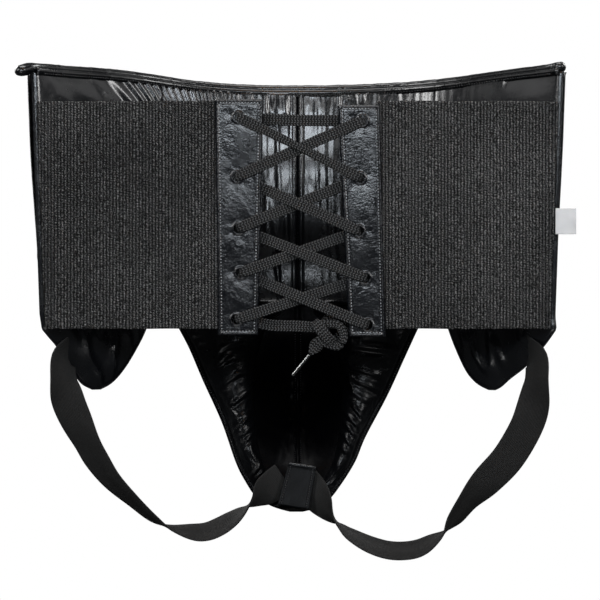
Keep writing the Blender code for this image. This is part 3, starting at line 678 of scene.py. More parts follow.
def inflate(obj, held, cap, frames=20, pressure=4.0, slack=0.04):
    """Puffs a closed cover with a short cloth run.

    Held vertices stay where they are and no other moves further than cap.
    """
    scene = bpy.context.scene
    before = coordinates(obj.data)
    pins = obj.vertex_groups.new(name="held")
    pins.add([int(k) for k in np.flatnonzero(held)], 1.0, "REPLACE")
    cloth = obj.modifiers.new("inflate", "CLOTH")
    cloth.point_cache.frame_start = 1
    cloth.point_cache.frame_end = frames
    settings = cloth.settings
    settings.quality = 3
    settings.vertex_group_mass = "held"
    settings.use_pressure = True
    settings.uniform_pressure_force = pressure
    settings.shrink_min = -slack
    settings.effector_weights.gravity = 0
    for frame_number in range(1, frames + 1):
        scene.frame_set(frame_number)
        bpy.context.view_layer.update()
    shaped = obj.evaluated_get(bpy.context.evaluated_depsgraph_get()).data
    move = coordinates(shaped) - before
    size = np.linalg.norm(move, axis=1)[:, None]
    move = move * np.minimum(1.0, cap / np.maximum(size, 1e-9))
    move[held] = 0.0
    obj.modifiers.remove(cloth)
    obj.data.vertices.foreach_set("co", (before + move).ravel())
    obj.data.update()
    scene.frame_set(1)
    print("INFLATED", obj.name, len(before), "mean %.2f mm" % (1000 * size.mean()),
          "max %.2f mm" % (1000 * size.max()))


def soften(obj):
    """One level of subdivision, applied."""
    obj.modifiers.new("soften", "SUBSURF").levels = 1
    apply_modifiers(obj)


# ---- the padded front -----------------------------------------------------------------------
def hip_heights(side):
    """Row heights of a hip section, from the waist to the foot of its lobe."""
    lowest = -0.1240 if side < 0 else -0.1245
    upper = np.linspace(PAD_TOP_SIDE - 0.003, -0.0621, 105)
    turn = np.linspace(0.0, math.pi / 2, 42)[1:]
    return np.concatenate([upper, -0.0621 + (lowest + 0.0621) * np.sin(turn)])


def hip_edges(side, z):
    """x of a hip section's outer and inner edge at heights z."""
    word = "left" if side < 0 else "right"
    share = smooth((-0.068 - z) / 0.014)
    out = side * seam_x(z) * (1 - share) + edge_at(word + "_out", z) * share
    inner = np.where(z < ARCH_TOP, edge_at(word + "_in", z), side * SECTION_SEAM)
    return out, inner


def edge_distance(x, z, kind):
    """Distance of points to the free and sewn edges of a padded section."""
    if kind == "belly":
        rim = [(-SECTION_SEAM, PAD_TOP_SIDE), (-SECTION_SEAM, ARCH_TOP),
               (SECTION_SEAM, ARCH_TOP), (SECTION_SEAM, PAD_TOP_SIDE)]
        rim = np.array(rim)
    else:
        side = -1 if kind == "left" else 1
        heights = hip_heights(side)
        out, inner = hip_edges(side, heights)
        rim = np.concatenate([np.stack([out, heights], 1), np.stack([inner, heights], 1)[::-1]])
    best = np.full(x.shape, 1.0)
    for (x0, z0), (x1, z1) in zip(rim, rim[1:]):
        dx, dz = x1 - x0, z1 - z0
        span = dx * dx + dz * dz
        if span < 1e-12:
            continue
        t = np.clip(((x - x0) * dx + (z - z0) * dz) / span, 0, 1)
        best = np.minimum(best, np.hypot(x - x0 - t * dx, z - z0 - t * dz))
    return np.minimum(best, top_z(x) - z)


def rounding(distance, radius):
    """How far a face falls back as it rounds off within radius of its edge."""
    d = np.clip(distance / radius, 0.0, 1.0)
    return 1.0 - np.sqrt(np.clip(1.0 - (1.0 - d) ** 2, 0.0, 1.0))


# folds under the left part of the top edge: wide at the side seam, close together inwards
CURTAIN_X = np.linspace(-0.26, 0.20, 400)
CURTAIN_PITCH = 0.0056 + 0.0120 * smooth((-0.105 - CURTAIN_X) / 0.060)
CURTAIN_TURNS = np.cumsum((CURTAIN_X[1] - CURTAIN_X[0]) / CURTAIN_PITCH)


def lining_relief(x, z, distance):
    """Puckers and folds of the inner leather, positive towards the wearer."""
    side = np.abs(x)
    below_top = top_z(x) - z
    centre = np.exp(-(side / 0.050) ** 4)
    warp = noise_at(x * 14, z * 9, 3.1) * 0.006
    tall = noise_at((x + warp) * 95, z * 8, 0.7)
    fine = noise_at((x + warp) * 230, z * 14, 5.2)
    shade = smooth(0.5 + 1.6 * noise_at(x * 20, z * 22, 7.7))
    vertical = (creases(tall, 1.3) * 0.0017 + creases(fine, 1.4) * 0.0005) * (0.3 + shade)
    swell = 0.0052 * np.exp(-((z - 0.002) / np.where(z > 0.002, 0.052, 0.026)) ** 2)
    swell += 0.0030 * np.exp(-((z + 0.053) / np.where(z > -0.053, 0.024, 0.012)) ** 2)
    broad = (noise_at(x * 26, z * 12, 9.0) + 0.3) * 0.0016 + swell * np.exp(-(side / 0.06) ** 2)
    broad += 0.0018 * smooth(below_top / 0.020)
    lean = 0.75 * smooth((-0.040 - x) / 0.10)
    across = x - lean * below_top * (1 + below_top * 10)
    turns = np.interp(across, CURTAIN_X, CURTAIN_TURNS)
    curtain = np.sin(turns * 2 * math.pi + 1.5 * noise_at(across * 50, 0, 2.2))
    strong = (0.25 + 0.75 * smooth((x + 0.150) / 0.030)) * smooth((-0.030 - x) / 0.020)
    strong = strong * smooth((x + 0.176) / 0.010)
    weak = 0.10 * smooth((x - 0.030) / 0.02) * smooth((0.150 - x) / 0.03)
    hang = smooth(below_top / 0.006) * np.exp(-np.maximum(below_top - 0.014, 0) / 0.018)
    gathers = (0.5 + 0.5 * curtain) ** 1.1 * hang * (strong + weak) * 0.0015
    hooks = creases(noise_at(x * 210, z * 40, 2.9), 1.2) * np.exp(-below_top / 0.013)
    hooks = hooks * np.exp(-(side / 0.075) ** 4) * 0.0014
    low = smooth((-0.070 - z) / 0.02)
    lobes = creases(noise_at(x * 95 + z * 26, z * 24 - x * 20, 4.4), 1.3) * 0.0020 * low
    near_seam = smooth((side - 0.0030) / 0.006)
    relief = vertical * centre * near_seam + gathers + hooks * near_seam + lobes
    seam_dip = -0.0016 * np.exp(-(side / 0.0010) ** 2)
    ridge = 0.0010 * np.exp(-((side - 0.0026) / 0.0012) ** 2)
    fade = smooth((distance - 0.001) / 0.012)
    return np.clip(relief + broad, 0, 0.0110) * fade + seam_dip + ridge


def build_lining(side, mats):
    """One half of the inner leather, from the side seam to the centre seam and the lobe."""
    word = "left" if side < 0 else "right"
    heights = hip_heights(side)
    out, inner = hip_edges(side, heights)
    full = heights > ARCH_TOP - 0.0002
    blocks = []
    hip_x, hip_z = row_grid(heights, out, inner, 58)
    belly_heights = np.append(heights[full], ARCH_TOP - 0.0014)
    ones = np.ones_like(belly_heights)
    belly_x, belly_z = row_grid(belly_heights, side * SECTION_SEAM * ones, side * 0.00002 * ones,
                                88)
    for x, z, kind in ((hip_x, hip_z, "hip"), (belly_x, belly_z, "belly")):
        distance = edge_distance(x, z, word) if kind == "hip" else np.full(x.shape, 0.02)
        if kind == "hip":
            upper = (z > ARCH_TOP) & (np.abs(x) < 0.150)
            distance = np.where(upper, 0.02, distance)
            outer_free = np.minimum(distance, seam_x(z) - np.abs(x))
            distance = np.where(z > ARCH_TOP, outer_free, distance)
        else:
            distance = np.minimum(distance, z - ARCH_TOP + 0.010)
        lift = lining_relief(x, under_top(x, z), distance)
        lift = lift * smooth((top_z(x) - under_top(x, z)) / 0.004 + 0.2)
        back = rounding(distance, 0.0045) * EDGE_THICK * 0.42
        place = under_top(x, z)
        near = pad_points(x, place, back - lift)
        far = pad_points(x, place, back - lift + LEATHER)
        blocks.append((near, far))
    parts = [closed_sheet("%s_lining_%d" % (word, k), near, far, mats["lining_leather"])
             for k, (near, far) in enumerate(blocks)]
    obj = join(parts, word + "_lining_leather")
    finish_piece(obj, "front", "leather", word + "_lining")


def join(parts, name):
    """Joins mesh objects into one, keeping the first one's material slots."""
    bpy.ops.object.select_all(action="DESELECT")
    for part in parts:
        part.select_set(True)
    bpy.context.view_layer.objects.active = parts[0]
    bpy.ops.object.join()
    parts[0].name = name
    parts[0].data.name = name
    return parts[0]


def cover_relief(x, z, seed):
    """Shallow puckers of the outer leather, mostly along its seams."""
    broad = noise_at(x * 30, z * 24, seed) * 0.0007
    fine = creases(noise_at(x * 80, z * 30, seed + 4), 1.4) * 0.0007
    return broad + fine


QUILT_LINES = (0.052, 0.010, -0.030)     # heights of the belly cover's stitched channels


def section_thickness(distance, full):
    """Thickness of a section, thin at its seams and full within."""
    return EDGE_THICK + (full - EDGE_THICK) * smooth(distance / EDGE_RUN)


def build_section(kind, name, full, mats):
    """Cover and foam of one padded section."""
    if kind == "belly":
        heights = np.linspace(PAD_TOP_SIDE - 0.003, ARCH_TOP, 84)
        ones = np.ones_like(heights)
        x, z = row_grid(heights, -SECTION_SEAM * ones, SECTION_SEAM * ones, 64)
    else:
        side = -1 if kind == "left" else 1
        heights = hip_heights(side)
        out, inner = hip_edges(side, heights)
        x, z = row_grid(heights, out, inner, 40)
    place = under_top(x, z)
    distance = np.maximum(edge_distance(x, place, kind), 0.0)
    thick = section_thickness(distance, full)
    if kind == "belly":
        for band in QUILT_LINES:
            thick = thick - 0.0040 * np.exp(-((place - band) / 0.0030) ** 2)
    round_off = rounding(distance, 0.0045) * EDGE_THICK * 0.55
    relief = cover_relief(x, place, 11.0 + full * 100) * smooth(distance / 0.008)
    if kind != "belly":
        fuller = SIDE_FULLNESS[kind] * smooth((place + 0.060) / 0.12)
        thick = thick + fuller * np.exp(-((np.abs(x) - seam_x(place)) / 0.012) ** 2)
    outer = pad_points(x, place, thick - round_off + relief)
    under = pad_points(x, place, np.maximum(thick - round_off + relief - LEATHER, 0.0030))
    cover = closed_sheet(name + "_cover_leather", under, outer, mats["leather"])
    seams = distance < 0.0035
    if kind == "belly":
        for band in QUILT_LINES:
            seams = seams | (np.abs(place - band) < 0.0016)
    held = np.concatenate([np.ones(x.size, bool), seams.ravel()])
    inflate(cover, held, 0.0050)
    soften(cover)
    finish_piece(cover, "front", "leather", name + "_cover")
    inset = np.minimum(distance, 0.004) / 0.004
    low = pad_points(x, place, LEATHER + 0.0012 + 0.0008 * (1 - inset))
    high = pad_points(x, place, np.maximum(thick - round_off - LEATHER - 0.0022,
                                           LEATHER + 0.0022))
    step = 4
    foam = closed_sheet(name + "_foam_core", low[2:-2:step, 2:-2:step],
                        high[2:-2:step, 2:-2:step], mats["foam"])
    finish_piece(foam, "front", "foam", name + "_foam")


def arc_path(x_values, z_function, out):
    """Points along the pad at the given x values."""
    z = z_function(x_values)
    return pad_points(x_values, z, out)


def pad_normals(x_values, sign):
    """Horizontal normals of the pad, outwards for sign 1 and towards the wearer for -1."""
    angle = np.arcsin(np.clip(x_values / PAD_RADIUS, -1, 1))
    return sign * np.stack([np.sin(angle), np.cos(angle), 0 * angle], -1)


def build_top_edge(mats):
    """Rolled top edge, the band under it and its stitch row."""
    reach = seam_x(PAD_TOP_SIDE)
    x = np.linspace(-reach - 0.0085, reach, 270)
    z = top_z(x) + ROLL_RADIUS - 0.0026
    radius = 1.0 + 0.10 * noise_at(x * 120, 0, 1.7) + 0.06 * noise_at(x * 420, 0, 8.0)
    swell = 1.0 + 0.45 * np.exp(-((x + reach + 0.004) / 0.005) ** 2)
    swell = swell + 0.25 * np.exp(-((x - reach + 0.002) / 0.005) ** 2)
    close = np.sqrt(np.clip(1 - ((np.abs(x - x.mean()) - (x[-1] - x.mean()) + 0.002)
                                 / 0.0021).clip(0, 1) ** 2, 0.02, 1))
    droop = -0.0038 * np.exp(-((x - x[0]) / 0.008) ** 2)
    rings = []
    centres = pad_points(x, z + droop, EDGE_THICK / 2)
    normals = pad_normals(x, 1)
    sides = 20
    for k in range(len(x)):
        turn = np.linspace(0, 2 * math.pi, sides, endpoint=False)
        size = ROLL_RADIUS * radius[k] * swell[k] * close[k]
        ring = (centres[k] + normals[k] * (1.2 * size * np.cos(turn))[:, None]
                + np.array([0, 0, 1]) * (size * np.sin(turn))[:, None])
        rings.append(ring)
    roll = tube("waist_roll_leather", rings, mats["leather"])
    finish_piece(roll, "front", "leather", "waist_roll")
    # the band that the roll turns into, on the wearer's side
    bx = np.linspace(-reach + 0.0006, reach - 0.0006, 240)
    rows = np.linspace(0.0, 1.0, 9)[:, None]
    drop = 0.0052 + 0.0003 * noise_at(bx * 60, 0, 2.0)
    bz = (top_z(bx) - 0.0004)[None, :] - rows * drop[None, :]
    bulge = 0.0011 * np.sin(np.clip(rows * 1.15, 0, 1) * math.pi) ** 0.8
    ripple = 0.0003 * noise_at(bx * 200, 0, 4.0)[None, :] * rows
    wide = np.repeat(bx[None, :], 9, 0)
    near = pad_points(wide, bz, -0.0012 - bulge + ripple)
    far = pad_points(wide, bz, 0.0006 + 0 * wide)
    band = closed_sheet("waist_band_leather", near, far, mats["leather"])
    finish_piece(band, "front", "leather")
    sx = np.linspace(-reach + 0.004, reach - 0.004, 300)
    row = stitches("waist_stitches", arc_path(sx, lambda v: top_z(v) - 0.0044, -0.0022),
                   pad_normals(sx, -1), mats["dark_thread"])
    finish_piece(row, "front", "leather")


def tube(name, rings, mat, uvs=None):
    """A closed skin through rings with a cap at each end."""
    size = len(rings[0])
    verts = np.vstack(rings)
    count = len(rings)
    faces = [tuple(range(size)), tuple(range((count - 1) * size, count * size))]
    for k in range(count - 1):
        for i in range(size):
            j = (i + 1) % size
            faces.append((k * size + i, k * size + j, (k + 1) * size + j, (k + 1) * size + i))
    return new_mesh(name, verts, faces, mat, uvs)


# ---- the crotch panel -----------------------------------------------------------------------
def crotch_grid(rows, columns):
    """x and z arrays over the crotch panel."""
    turn = np.linspace(0.0, 1.0, rows)
    heights = CROTCH_LEFT[0][0] + (CROTCH_LEFT[-1][0] - CROTCH_LEFT[0][0]) * turn
    return row_grid(heights, edge_at("crotch_left", heights), edge_at("crotch_right", heights),
                    columns)


def build_cup(mats):
    """Cup lining with its centre seam, foam, hard cup and outer cover."""
    x, z = crotch_grid(120, 110)
    left, right = edge_at("crotch_left", z), edge_at("crotch_right", z)
    distance = np.minimum(np.minimum(x - left, right - x) * 0.92, z + 0.2140)
    gather = creases(noise_at(x * 130, z * 150 + np.abs(x) * 60, 3.3), 1.2)
    gather = gather * np.exp(-(x / 0.013) ** 2 - ((z + 0.150) / 0.020) ** 2) * 0.0022
    broad = noise_at(x * 38, z * 30, 1.0) * 0.0008
    seam = -0.0010 * np.exp(-(x / 0.0013) ** 2) + 0.0007 * np.exp(-((np.abs(x) - 0.003) / 0.0014) ** 2)
    lift = (gather + broad + seam) * smooth(distance / 0.01)
    round_in = rounding(distance, 0.004) * 0.0035
    inner_y = crotch_base_y(x, z) + recess(x, z) - lift + round_in
    near = np.stack([x, inner_y, z], -1)
    far = np.stack([x, inner_y + LEATHER, z], -1)
    # the cup lining uses the recess copy of the leather, darkened as painted shade
    lining = closed_sheet("cup_lining_leather", near, far, mats["recess_shade_leather"])
    finish_piece(lining, "front", "lining", "cup_lining")
    relief = cover_relief(x, z, 21.0) * smooth(distance / 0.008)
    seam_out = -0.0012 * np.exp(-(x / 0.0015) ** 2)
    out_y = crotch_out(x, z) + relief + seam_out - rounding(distance, 0.006) * 0.0046
    under_y = out_y - LEATHER
    for rim in (np.s_[:, 0], np.s_[:, -1], np.s_[0, :], np.s_[-1, :]):
        under_y[rim] = inner_y[rim] + LEATHER + GAP        # the cover turns in to the lining
    cover = closed_sheet("cup_cover_leather", np.stack([x, under_y, z], -1),
                         np.stack([x, out_y, z], -1), mats["leather"])
    seams = (distance < 0.0035) | (np.abs(x) < 0.0010)
    inflate(cover, np.concatenate([np.ones(x.size, bool), seams.ravel()]), 0.0050)
    finish_piece(cover, "front", "leather", "cup_cover")
    fx, fz, fd = x[3:-3:5, 3:-3:5], z[3:-3:5, 3:-3:5], distance[3:-3:5, 3:-3:5]
    low = crotch_base_y(fx, fz) + recess(fx, fz) + 0.0092
    high = crotch_out(fx, fz) - LEATHER - 0.0016 - rounding(fd, 0.006) * 0.0046
    low = np.minimum(low, high - 0.0006)
    foam = closed_sheet("cup_foam_core", np.stack([fx, low, fz], -1),
                        np.stack([fx, high, fz], -1), mats["foam"])
    finish_piece(foam, "front", "foam", "cup_foam")
    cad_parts["hard_cup"].data.materials.clear()
    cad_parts["hard_cup"].data.materials.append(mats["plastic"])
    sz = np.linspace(-0.0840, -0.1800, 160)
    sx = 0 * sz + 0.0002
    path = np.stack([sx, crotch_base_y(sx, sz) + recess(sx, sz) + 0.0002, sz], -1)
    for offset, word in ((-0.0021, "left"), (0.0021, "right")):
        row = stitches("cup_seam_stitches_" + word, path + np.array([offset, -0.0006, 0]),
                       (0, -1, 0), mats["dark_thread"])
        finish_piece(row, "front", "leather")
    rim_stitches(mats)


def rim_stitches(mats):
    """Stitch row just inside the crotch panel's left and right rims, wearer's side."""
    for word, sign in (("crotch_left", 1), ("crotch_right", -1)):
        z = np.linspace(-0.0900, -0.2080, 220)
        x = edge_at(word, z) + sign * 0.0022
        y = crotch_base_y(x, z) + rounding(np.full_like(z, 0.0022), 0.004) * 0.0035
        row = stitches(word + "_stitches", np.stack([x, y - 0.0002, z], -1), (0, -1, 0),
                       mats["dark_thread"])
        finish_piece(row, "front", "leather")


def roll_limits(z, side):
    """Distance of a cup roll's inner and outer edge from the centre plane."""
    edge = edge_at("crotch_left" if side < 0 else "crotch_right", z)
    q = np.minimum(np.abs(z - CUP_CENTRE_Z) / (CUP_HALF_HEIGHT + 0.002), 1.0)
    inner = 0.0120 + 0.0200 * np.sqrt(1.0 - q * q)
    return inner, np.abs(edge) - 0.0042


# folds of the cup rolls: x, z of both ends, width and height, all in metres
LEFT_ROLL_FOLDS = [
    (-0.0550, -0.0941, -0.0419, -0.0886, 0.0020, 0.0006),
    (-0.0419, -0.0886, -0.0277, -0.0897, 0.0020, 0.0006),
    (-0.0616, -0.1083, -0.0507, -0.0995, 0.0022, 0.0008),
    (-0.0507, -0.0995, -0.0310, -0.0984, 0.0022, 0.0008),
    (-0.0539, -0.1203, -0.0441, -0.1137, 0.0022, 0.0007),
    (-0.0441, -0.1137, -0.0340, -0.1120, 0.0020, 0.0006),
    (-0.0463, -0.1345, -0.0332, -0.1247, 0.0016, 0.0014),
    (-0.0430, -0.1460, -0.0340, -0.1400, 0.0020, 0.0008),
    (-0.0408, -0.1498, -0.0354, -0.1443, 0.0014, 0.0012),
    (-0.0387, -0.1563, -0.0288, -0.1476, 0.0015, 0.0015),
    (-0.0365, -0.1607, -0.0310, -0.1552, 0.0014, 0.0013),
    (-0.0343, -0.1880, -0.0201, -0.1716, 0.0015, 0.0015),
    (-0.0332, -0.1913, -0.0212, -0.1793, 0.0014, 0.0014),
    (-0.0255, -0.1956, -0.0212, -0.1891, 0.0018, 0.0010),
]
RIGHT_ROLL_FOLDS = [
    (0.0400, -0.0920, 0.0770, -0.0968, 0.0026, 0.0012),
    (0.0400, -0.1083, 0.0607, -0.1148, 0.0020, 0.0008),
    (0.0454, -0.1192, 0.0574, -0.1247, 0.0020, 0.0007),
    (0.0400, -0.1270, 0.0500, -0.1330, 0.0018, 0.0005),
    (0.0411, -0.1378, 0.0454, -0.1432, 0.0014, 0.0012),
    (0.0356, -0.1432, 0.0422, -0.1498, 0.0015, 0.0015),
    (0.0345, -0.1498, 0.0400, -0.1563, 0.0015, 0.0014),
    (0.0323, -0.1563, 0.0367, -0.1629, 0.0015, 0.0013),
    (0.0301, -0.1651, 0.0345, -0.1690, 0.0020, 0.0010),
    (0.0269, -0.1738, 0.0290, -0.1803, 0.0028, 0.0010),
]


def fold_relief(x, z, folds):
    """Height of a list of folds: a ridge with a crease along its lower side."""
    total = np.zeros_like(x)
    for x0, z0, x1, z1, width, height in folds:
        dx, dz = x1 - x0, z1 - z0
        span = math.hypot(dx, dz)
        along = ((x - x0) * dx + (z - z0) * dz) / span
        off = ((z - z0) * dx - (x - x0) * dz) / span
        off = off if dx > 0 else -off
        over = np.maximum(np.maximum(-along, along - span), 0.0)
        reach = np.exp(-(over / (width * 1.5)) ** 2)
        ridge = np.exp(-(off / width) ** 2)
        crease = 0.55 * np.exp(-((off + 1.6 * width) / (0.8 * width)) ** 2)
        total += height * (ridge - crease) * reach
    return total


def build_cup_roll(side, mats):
    """Puffed roll beside the recess, gathered along its inner seam."""
    word = "left" if side < 0 else "right"
    columns = 46
    heights = np.linspace(-0.0665, -0.2030, 124)
    u = np.linspace(0.0, 1.0, columns)[None, :]
    z = np.repeat(heights[:, None], columns, 1)
    inner, outer = roll_limits(heights, side)
    inner, outer = inner[:, None], outer[:, None]
    x = side * (inner + (outer - inner) * u)
    ends = smooth((heights + 0.2045) / 0.045)[:, None]
    height = 0.0150 * ends + 0.0015
    puff = np.sin(np.clip(u, 0, 1) ** 0.72 * math.pi) ** 0.62
    seed = 2.0 if side < 0 else 7.0
    lean = z - side * x * 0.9
    small = creases(noise_at(lean * 90, x * 30, seed), 1.2) * 0.0001
    small = small * np.exp(-((u - 0.20) / 0.25) ** 2)
    broad = noise_at(x * 22, z * 14, seed + 1) * 0.0014
    folds = 1.5 * fold_relief(x, z, LEFT_ROLL_FOLDS if side < 0 else RIGHT_ROLL_FOLDS)
    swell = (broad + small + folds) * np.minimum(puff * 1.2, 1)
    under = crotch_base_y(x, z) - 0.0004 + 0 * x
    surface = np.minimum(crotch_base_y(x, z) - 0.0012 - height * puff - swell, under - 0.0004)
    near = np.stack([x, surface, z], -1)
    far = np.stack([x, under, z], -1)
    roll = closed_sheet(word + "_cup_roll_leather", near, far, mats["roll_leather"])
    seams = (u < 0.03) | (u > 0.97) | (z > heights[1]) | (z < heights[-2])
    inflate(roll, np.concatenate([seams.ravel(), np.ones(x.size, bool)]), 0.0060, slack=0.02)
    soften(roll)
    finish_piece(roll, "front", "leather", word + "_cup_roll")


def build_tab(mats):
    """Stitched leather tab over the strap ends, its top edge folded."""
    top = np.array([0.0035, 0.0045, -0.1790])
    down = np.array([-0.0065, -0.0075, -0.0290])
    across = np.array([0.0200, 0.0, -0.0030])
    rows, columns = 56, 40
    b = np.linspace(-0.02, 1.02, rows)[:, None]
    a = np.linspace(-0.5, 0.5, columns)[None, :]
    width = 1.0 + 0.12 * b
    place = (top + across * (a * width)[..., None] + down * (b + 0 * a)[..., None])
    edge = np.minimum(0.5 - np.abs(a), 0.5) * 0.021 + 0 * b
    ends = np.minimum(b + 0.02, 1.02 - b) * 0.029 + 0 * a
    rim = np.minimum(edge, ends)
    lift = 0.0004 + 0.0006 * (1 - rounding(rim, 0.0012))
    fold = 0.0013 * np.exp(-((b - 0.035) / 0.030) ** 2) * (1 + 0.4 * noise_at(a * 6, b, 5.0))
    groove = -0.00035 * np.exp(-((edge - 0.0021) / 0.0004) ** 2)
    relief = 0.0002 * noise_at(a * 5, b * 4, 2.0)
    near = place + np.array([0, -1.0, 0]) * (lift + fold + groove + relief)[..., None]
    far = place + np.array([0, 0.0008, 0])
    tab = closed_sheet("crotch_tab_leather", near, far, mats["tab_leather"])
    finish_piece(tab, "front", "leather", "crotch_tab")
    reach = np.linspace(-0.5, 0.5, 40)
    turn = np.linspace(0, 2 * math.pi, 14, endpoint=False)
    rings = []
    for k, share in enumerate(reach):
        size = 0.0011 * (1 + 0.25 * noise.noise((k * 0.35, 0.0, 2.0)))
        size *= math.sqrt(max(1 - (abs(share) * 2) ** 8, 0.05))
        centre = top + across * share + down * 0.015 + np.array([0, -0.0010, 0])
        rings.append(centre + np.stack([0 * turn, np.cos(turn), np.sin(turn)], -1) * size)
    fold_piece = tube("crotch_tab_fold", rings, mats["leather"])
    finish_piece(fold_piece, "front", "leather")
    t = np.linspace(0.05, 0.98, 60)[:, None]
    for sign, word in ((-1, "left"), (1, "right")):
        path = top + across * (sign * (0.5 * (1 + 0.12 * t) - 0.105)) + down * t
        row = stitches("tab_stitches_" + word, path + np.array([0, -0.0009, 0]), (0, -1, 0),
                       mats["dark_thread"], 0.0017, 0.0013)
        finish_piece(row, "front", "leather")


# ---- the elastic back -----------------------------------------------------------------------
def panel_edges(side, z):
    """Inner and outer x of a lacing panel at heights z."""
    top, bottom = (0.0810, -0.0840) if side < 0 else (0.0770, -0.0850)
    t = (top - z) / (top - bottom)
    if side < 0:
        return -0.0577 + 0.0021 * t, -0.0240 - 0.0036 * t
    return 0.0284 + 0.0076 * t, 0.0577 + 0.0039 * t


def build_elastic(side, mats):
    """Ribbed elastic from the side seam to the lacing panel."""
    word = "left" if side < 0 else "right"
    z_values = np.linspace(ELASTIC_TOP, ELASTIC_BOTTOM, 120)
    outer = side * (seam_x(z_values) - 0.0005)
    inner = np.full_like(z_values, -0.0500 if side < 0 else 0.0550)
    ribs = 58
    x, z = row_grid(z_values, outer, inner, ribs * 5 + 1)
    share = np.linspace(0.0, 1.0, ribs * 5 + 1)[None, :]
    rib = np.abs(np.sin(share * ribs * math.pi)) ** 0.6 * 0.00030
    fade = smooth(np.minimum(z - ELASTIC_BOTTOM, ELASTIC_TOP - z) / 0.0015)
    wave = 0.0006 * noise_at(x * 12, z * 12, 1.0) * smooth(np.abs(np.abs(x) - 0.118) / -0.05 + 1)
    droop = 0.0004 * noise_at(x * 30, 0.0, 6.0)
    z = z + droop * (np.abs(z) / 0.08)
    y = back_y(x) + wave
    near = np.stack([x, y - ELASTIC_THICK / 2 - rib * fade + 0.0002, z], -1)
    far = np.stack([x, y + ELASTIC_THICK / 2 + rib * fade - 0.0002, z], -1)
    elastic = closed_sheet(word + "_elastic_cloth", near, far, mats["elastic"])
    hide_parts(word + "_elastic")
    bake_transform(elastic)
    sz = np.linspace(ELASTIC_TOP - 0.002, ELASTIC_BOTTOM + 0.002, 160)
    for inset in (0.0030, 0.0075):
        sx = side * (seam_x(sz) - inset)
        path = np.stack([sx, back_y(sx) - ELASTIC_THICK / 2 - 0.0001, sz], -1)
        row = stitches("%s_seam_stitches_%d" % (word, inset * 10000), path, (0, -1, 0),
                       mats["dark_thread"], 0.0023, 0.0017)
        finish_piece(row, "front", "leather")


def punch(obj, side):
    """Cuts the five lacing holes."""
    holes = LEFT_HOLES if side < 0 else RIGHT_HOLES
    sides = 28
    verts, faces = [], []
    for x, z in holes:
        first = len(verts)
        for y in (-0.075, -0.040):
            for k in range(sides):
                turn = 2 * math.pi * k / sides
                verts.append((x + HOLE_RADIUS * math.cos(turn), y,
                              z + HOLE_RADIUS * math.sin(turn)))
        for k in range(sides):
            a, b = first + k, first + (k + 1) % sides
            faces.append((a, b, b + sides, a + sides))
        faces.append(tuple(first + k for k in range(sides)))
        faces.append(tuple(first + sides + k for k in range(sides)))
    cutter = new_mesh("punch", verts, faces, obj.data.materials[0])
    cut = obj.modifiers.new("holes", "BOOLEAN")
    cut.object = cutter
    cut.operation = "DIFFERENCE"
    apply_modifiers(obj)
    bpy.data.objects.remove(cutter, do_unlink=True)


def apply_modifiers(obj):
    """Replaces an object's mesh by what its modifiers make of it."""
    bpy.context.view_layer.update()
    graph = bpy.context.evaluated_depsgraph_get()
    mesh = bpy.data.meshes.new_from_object(obj.evaluated_get(graph))
    obj.modifiers.clear()
    obj.data = mesh


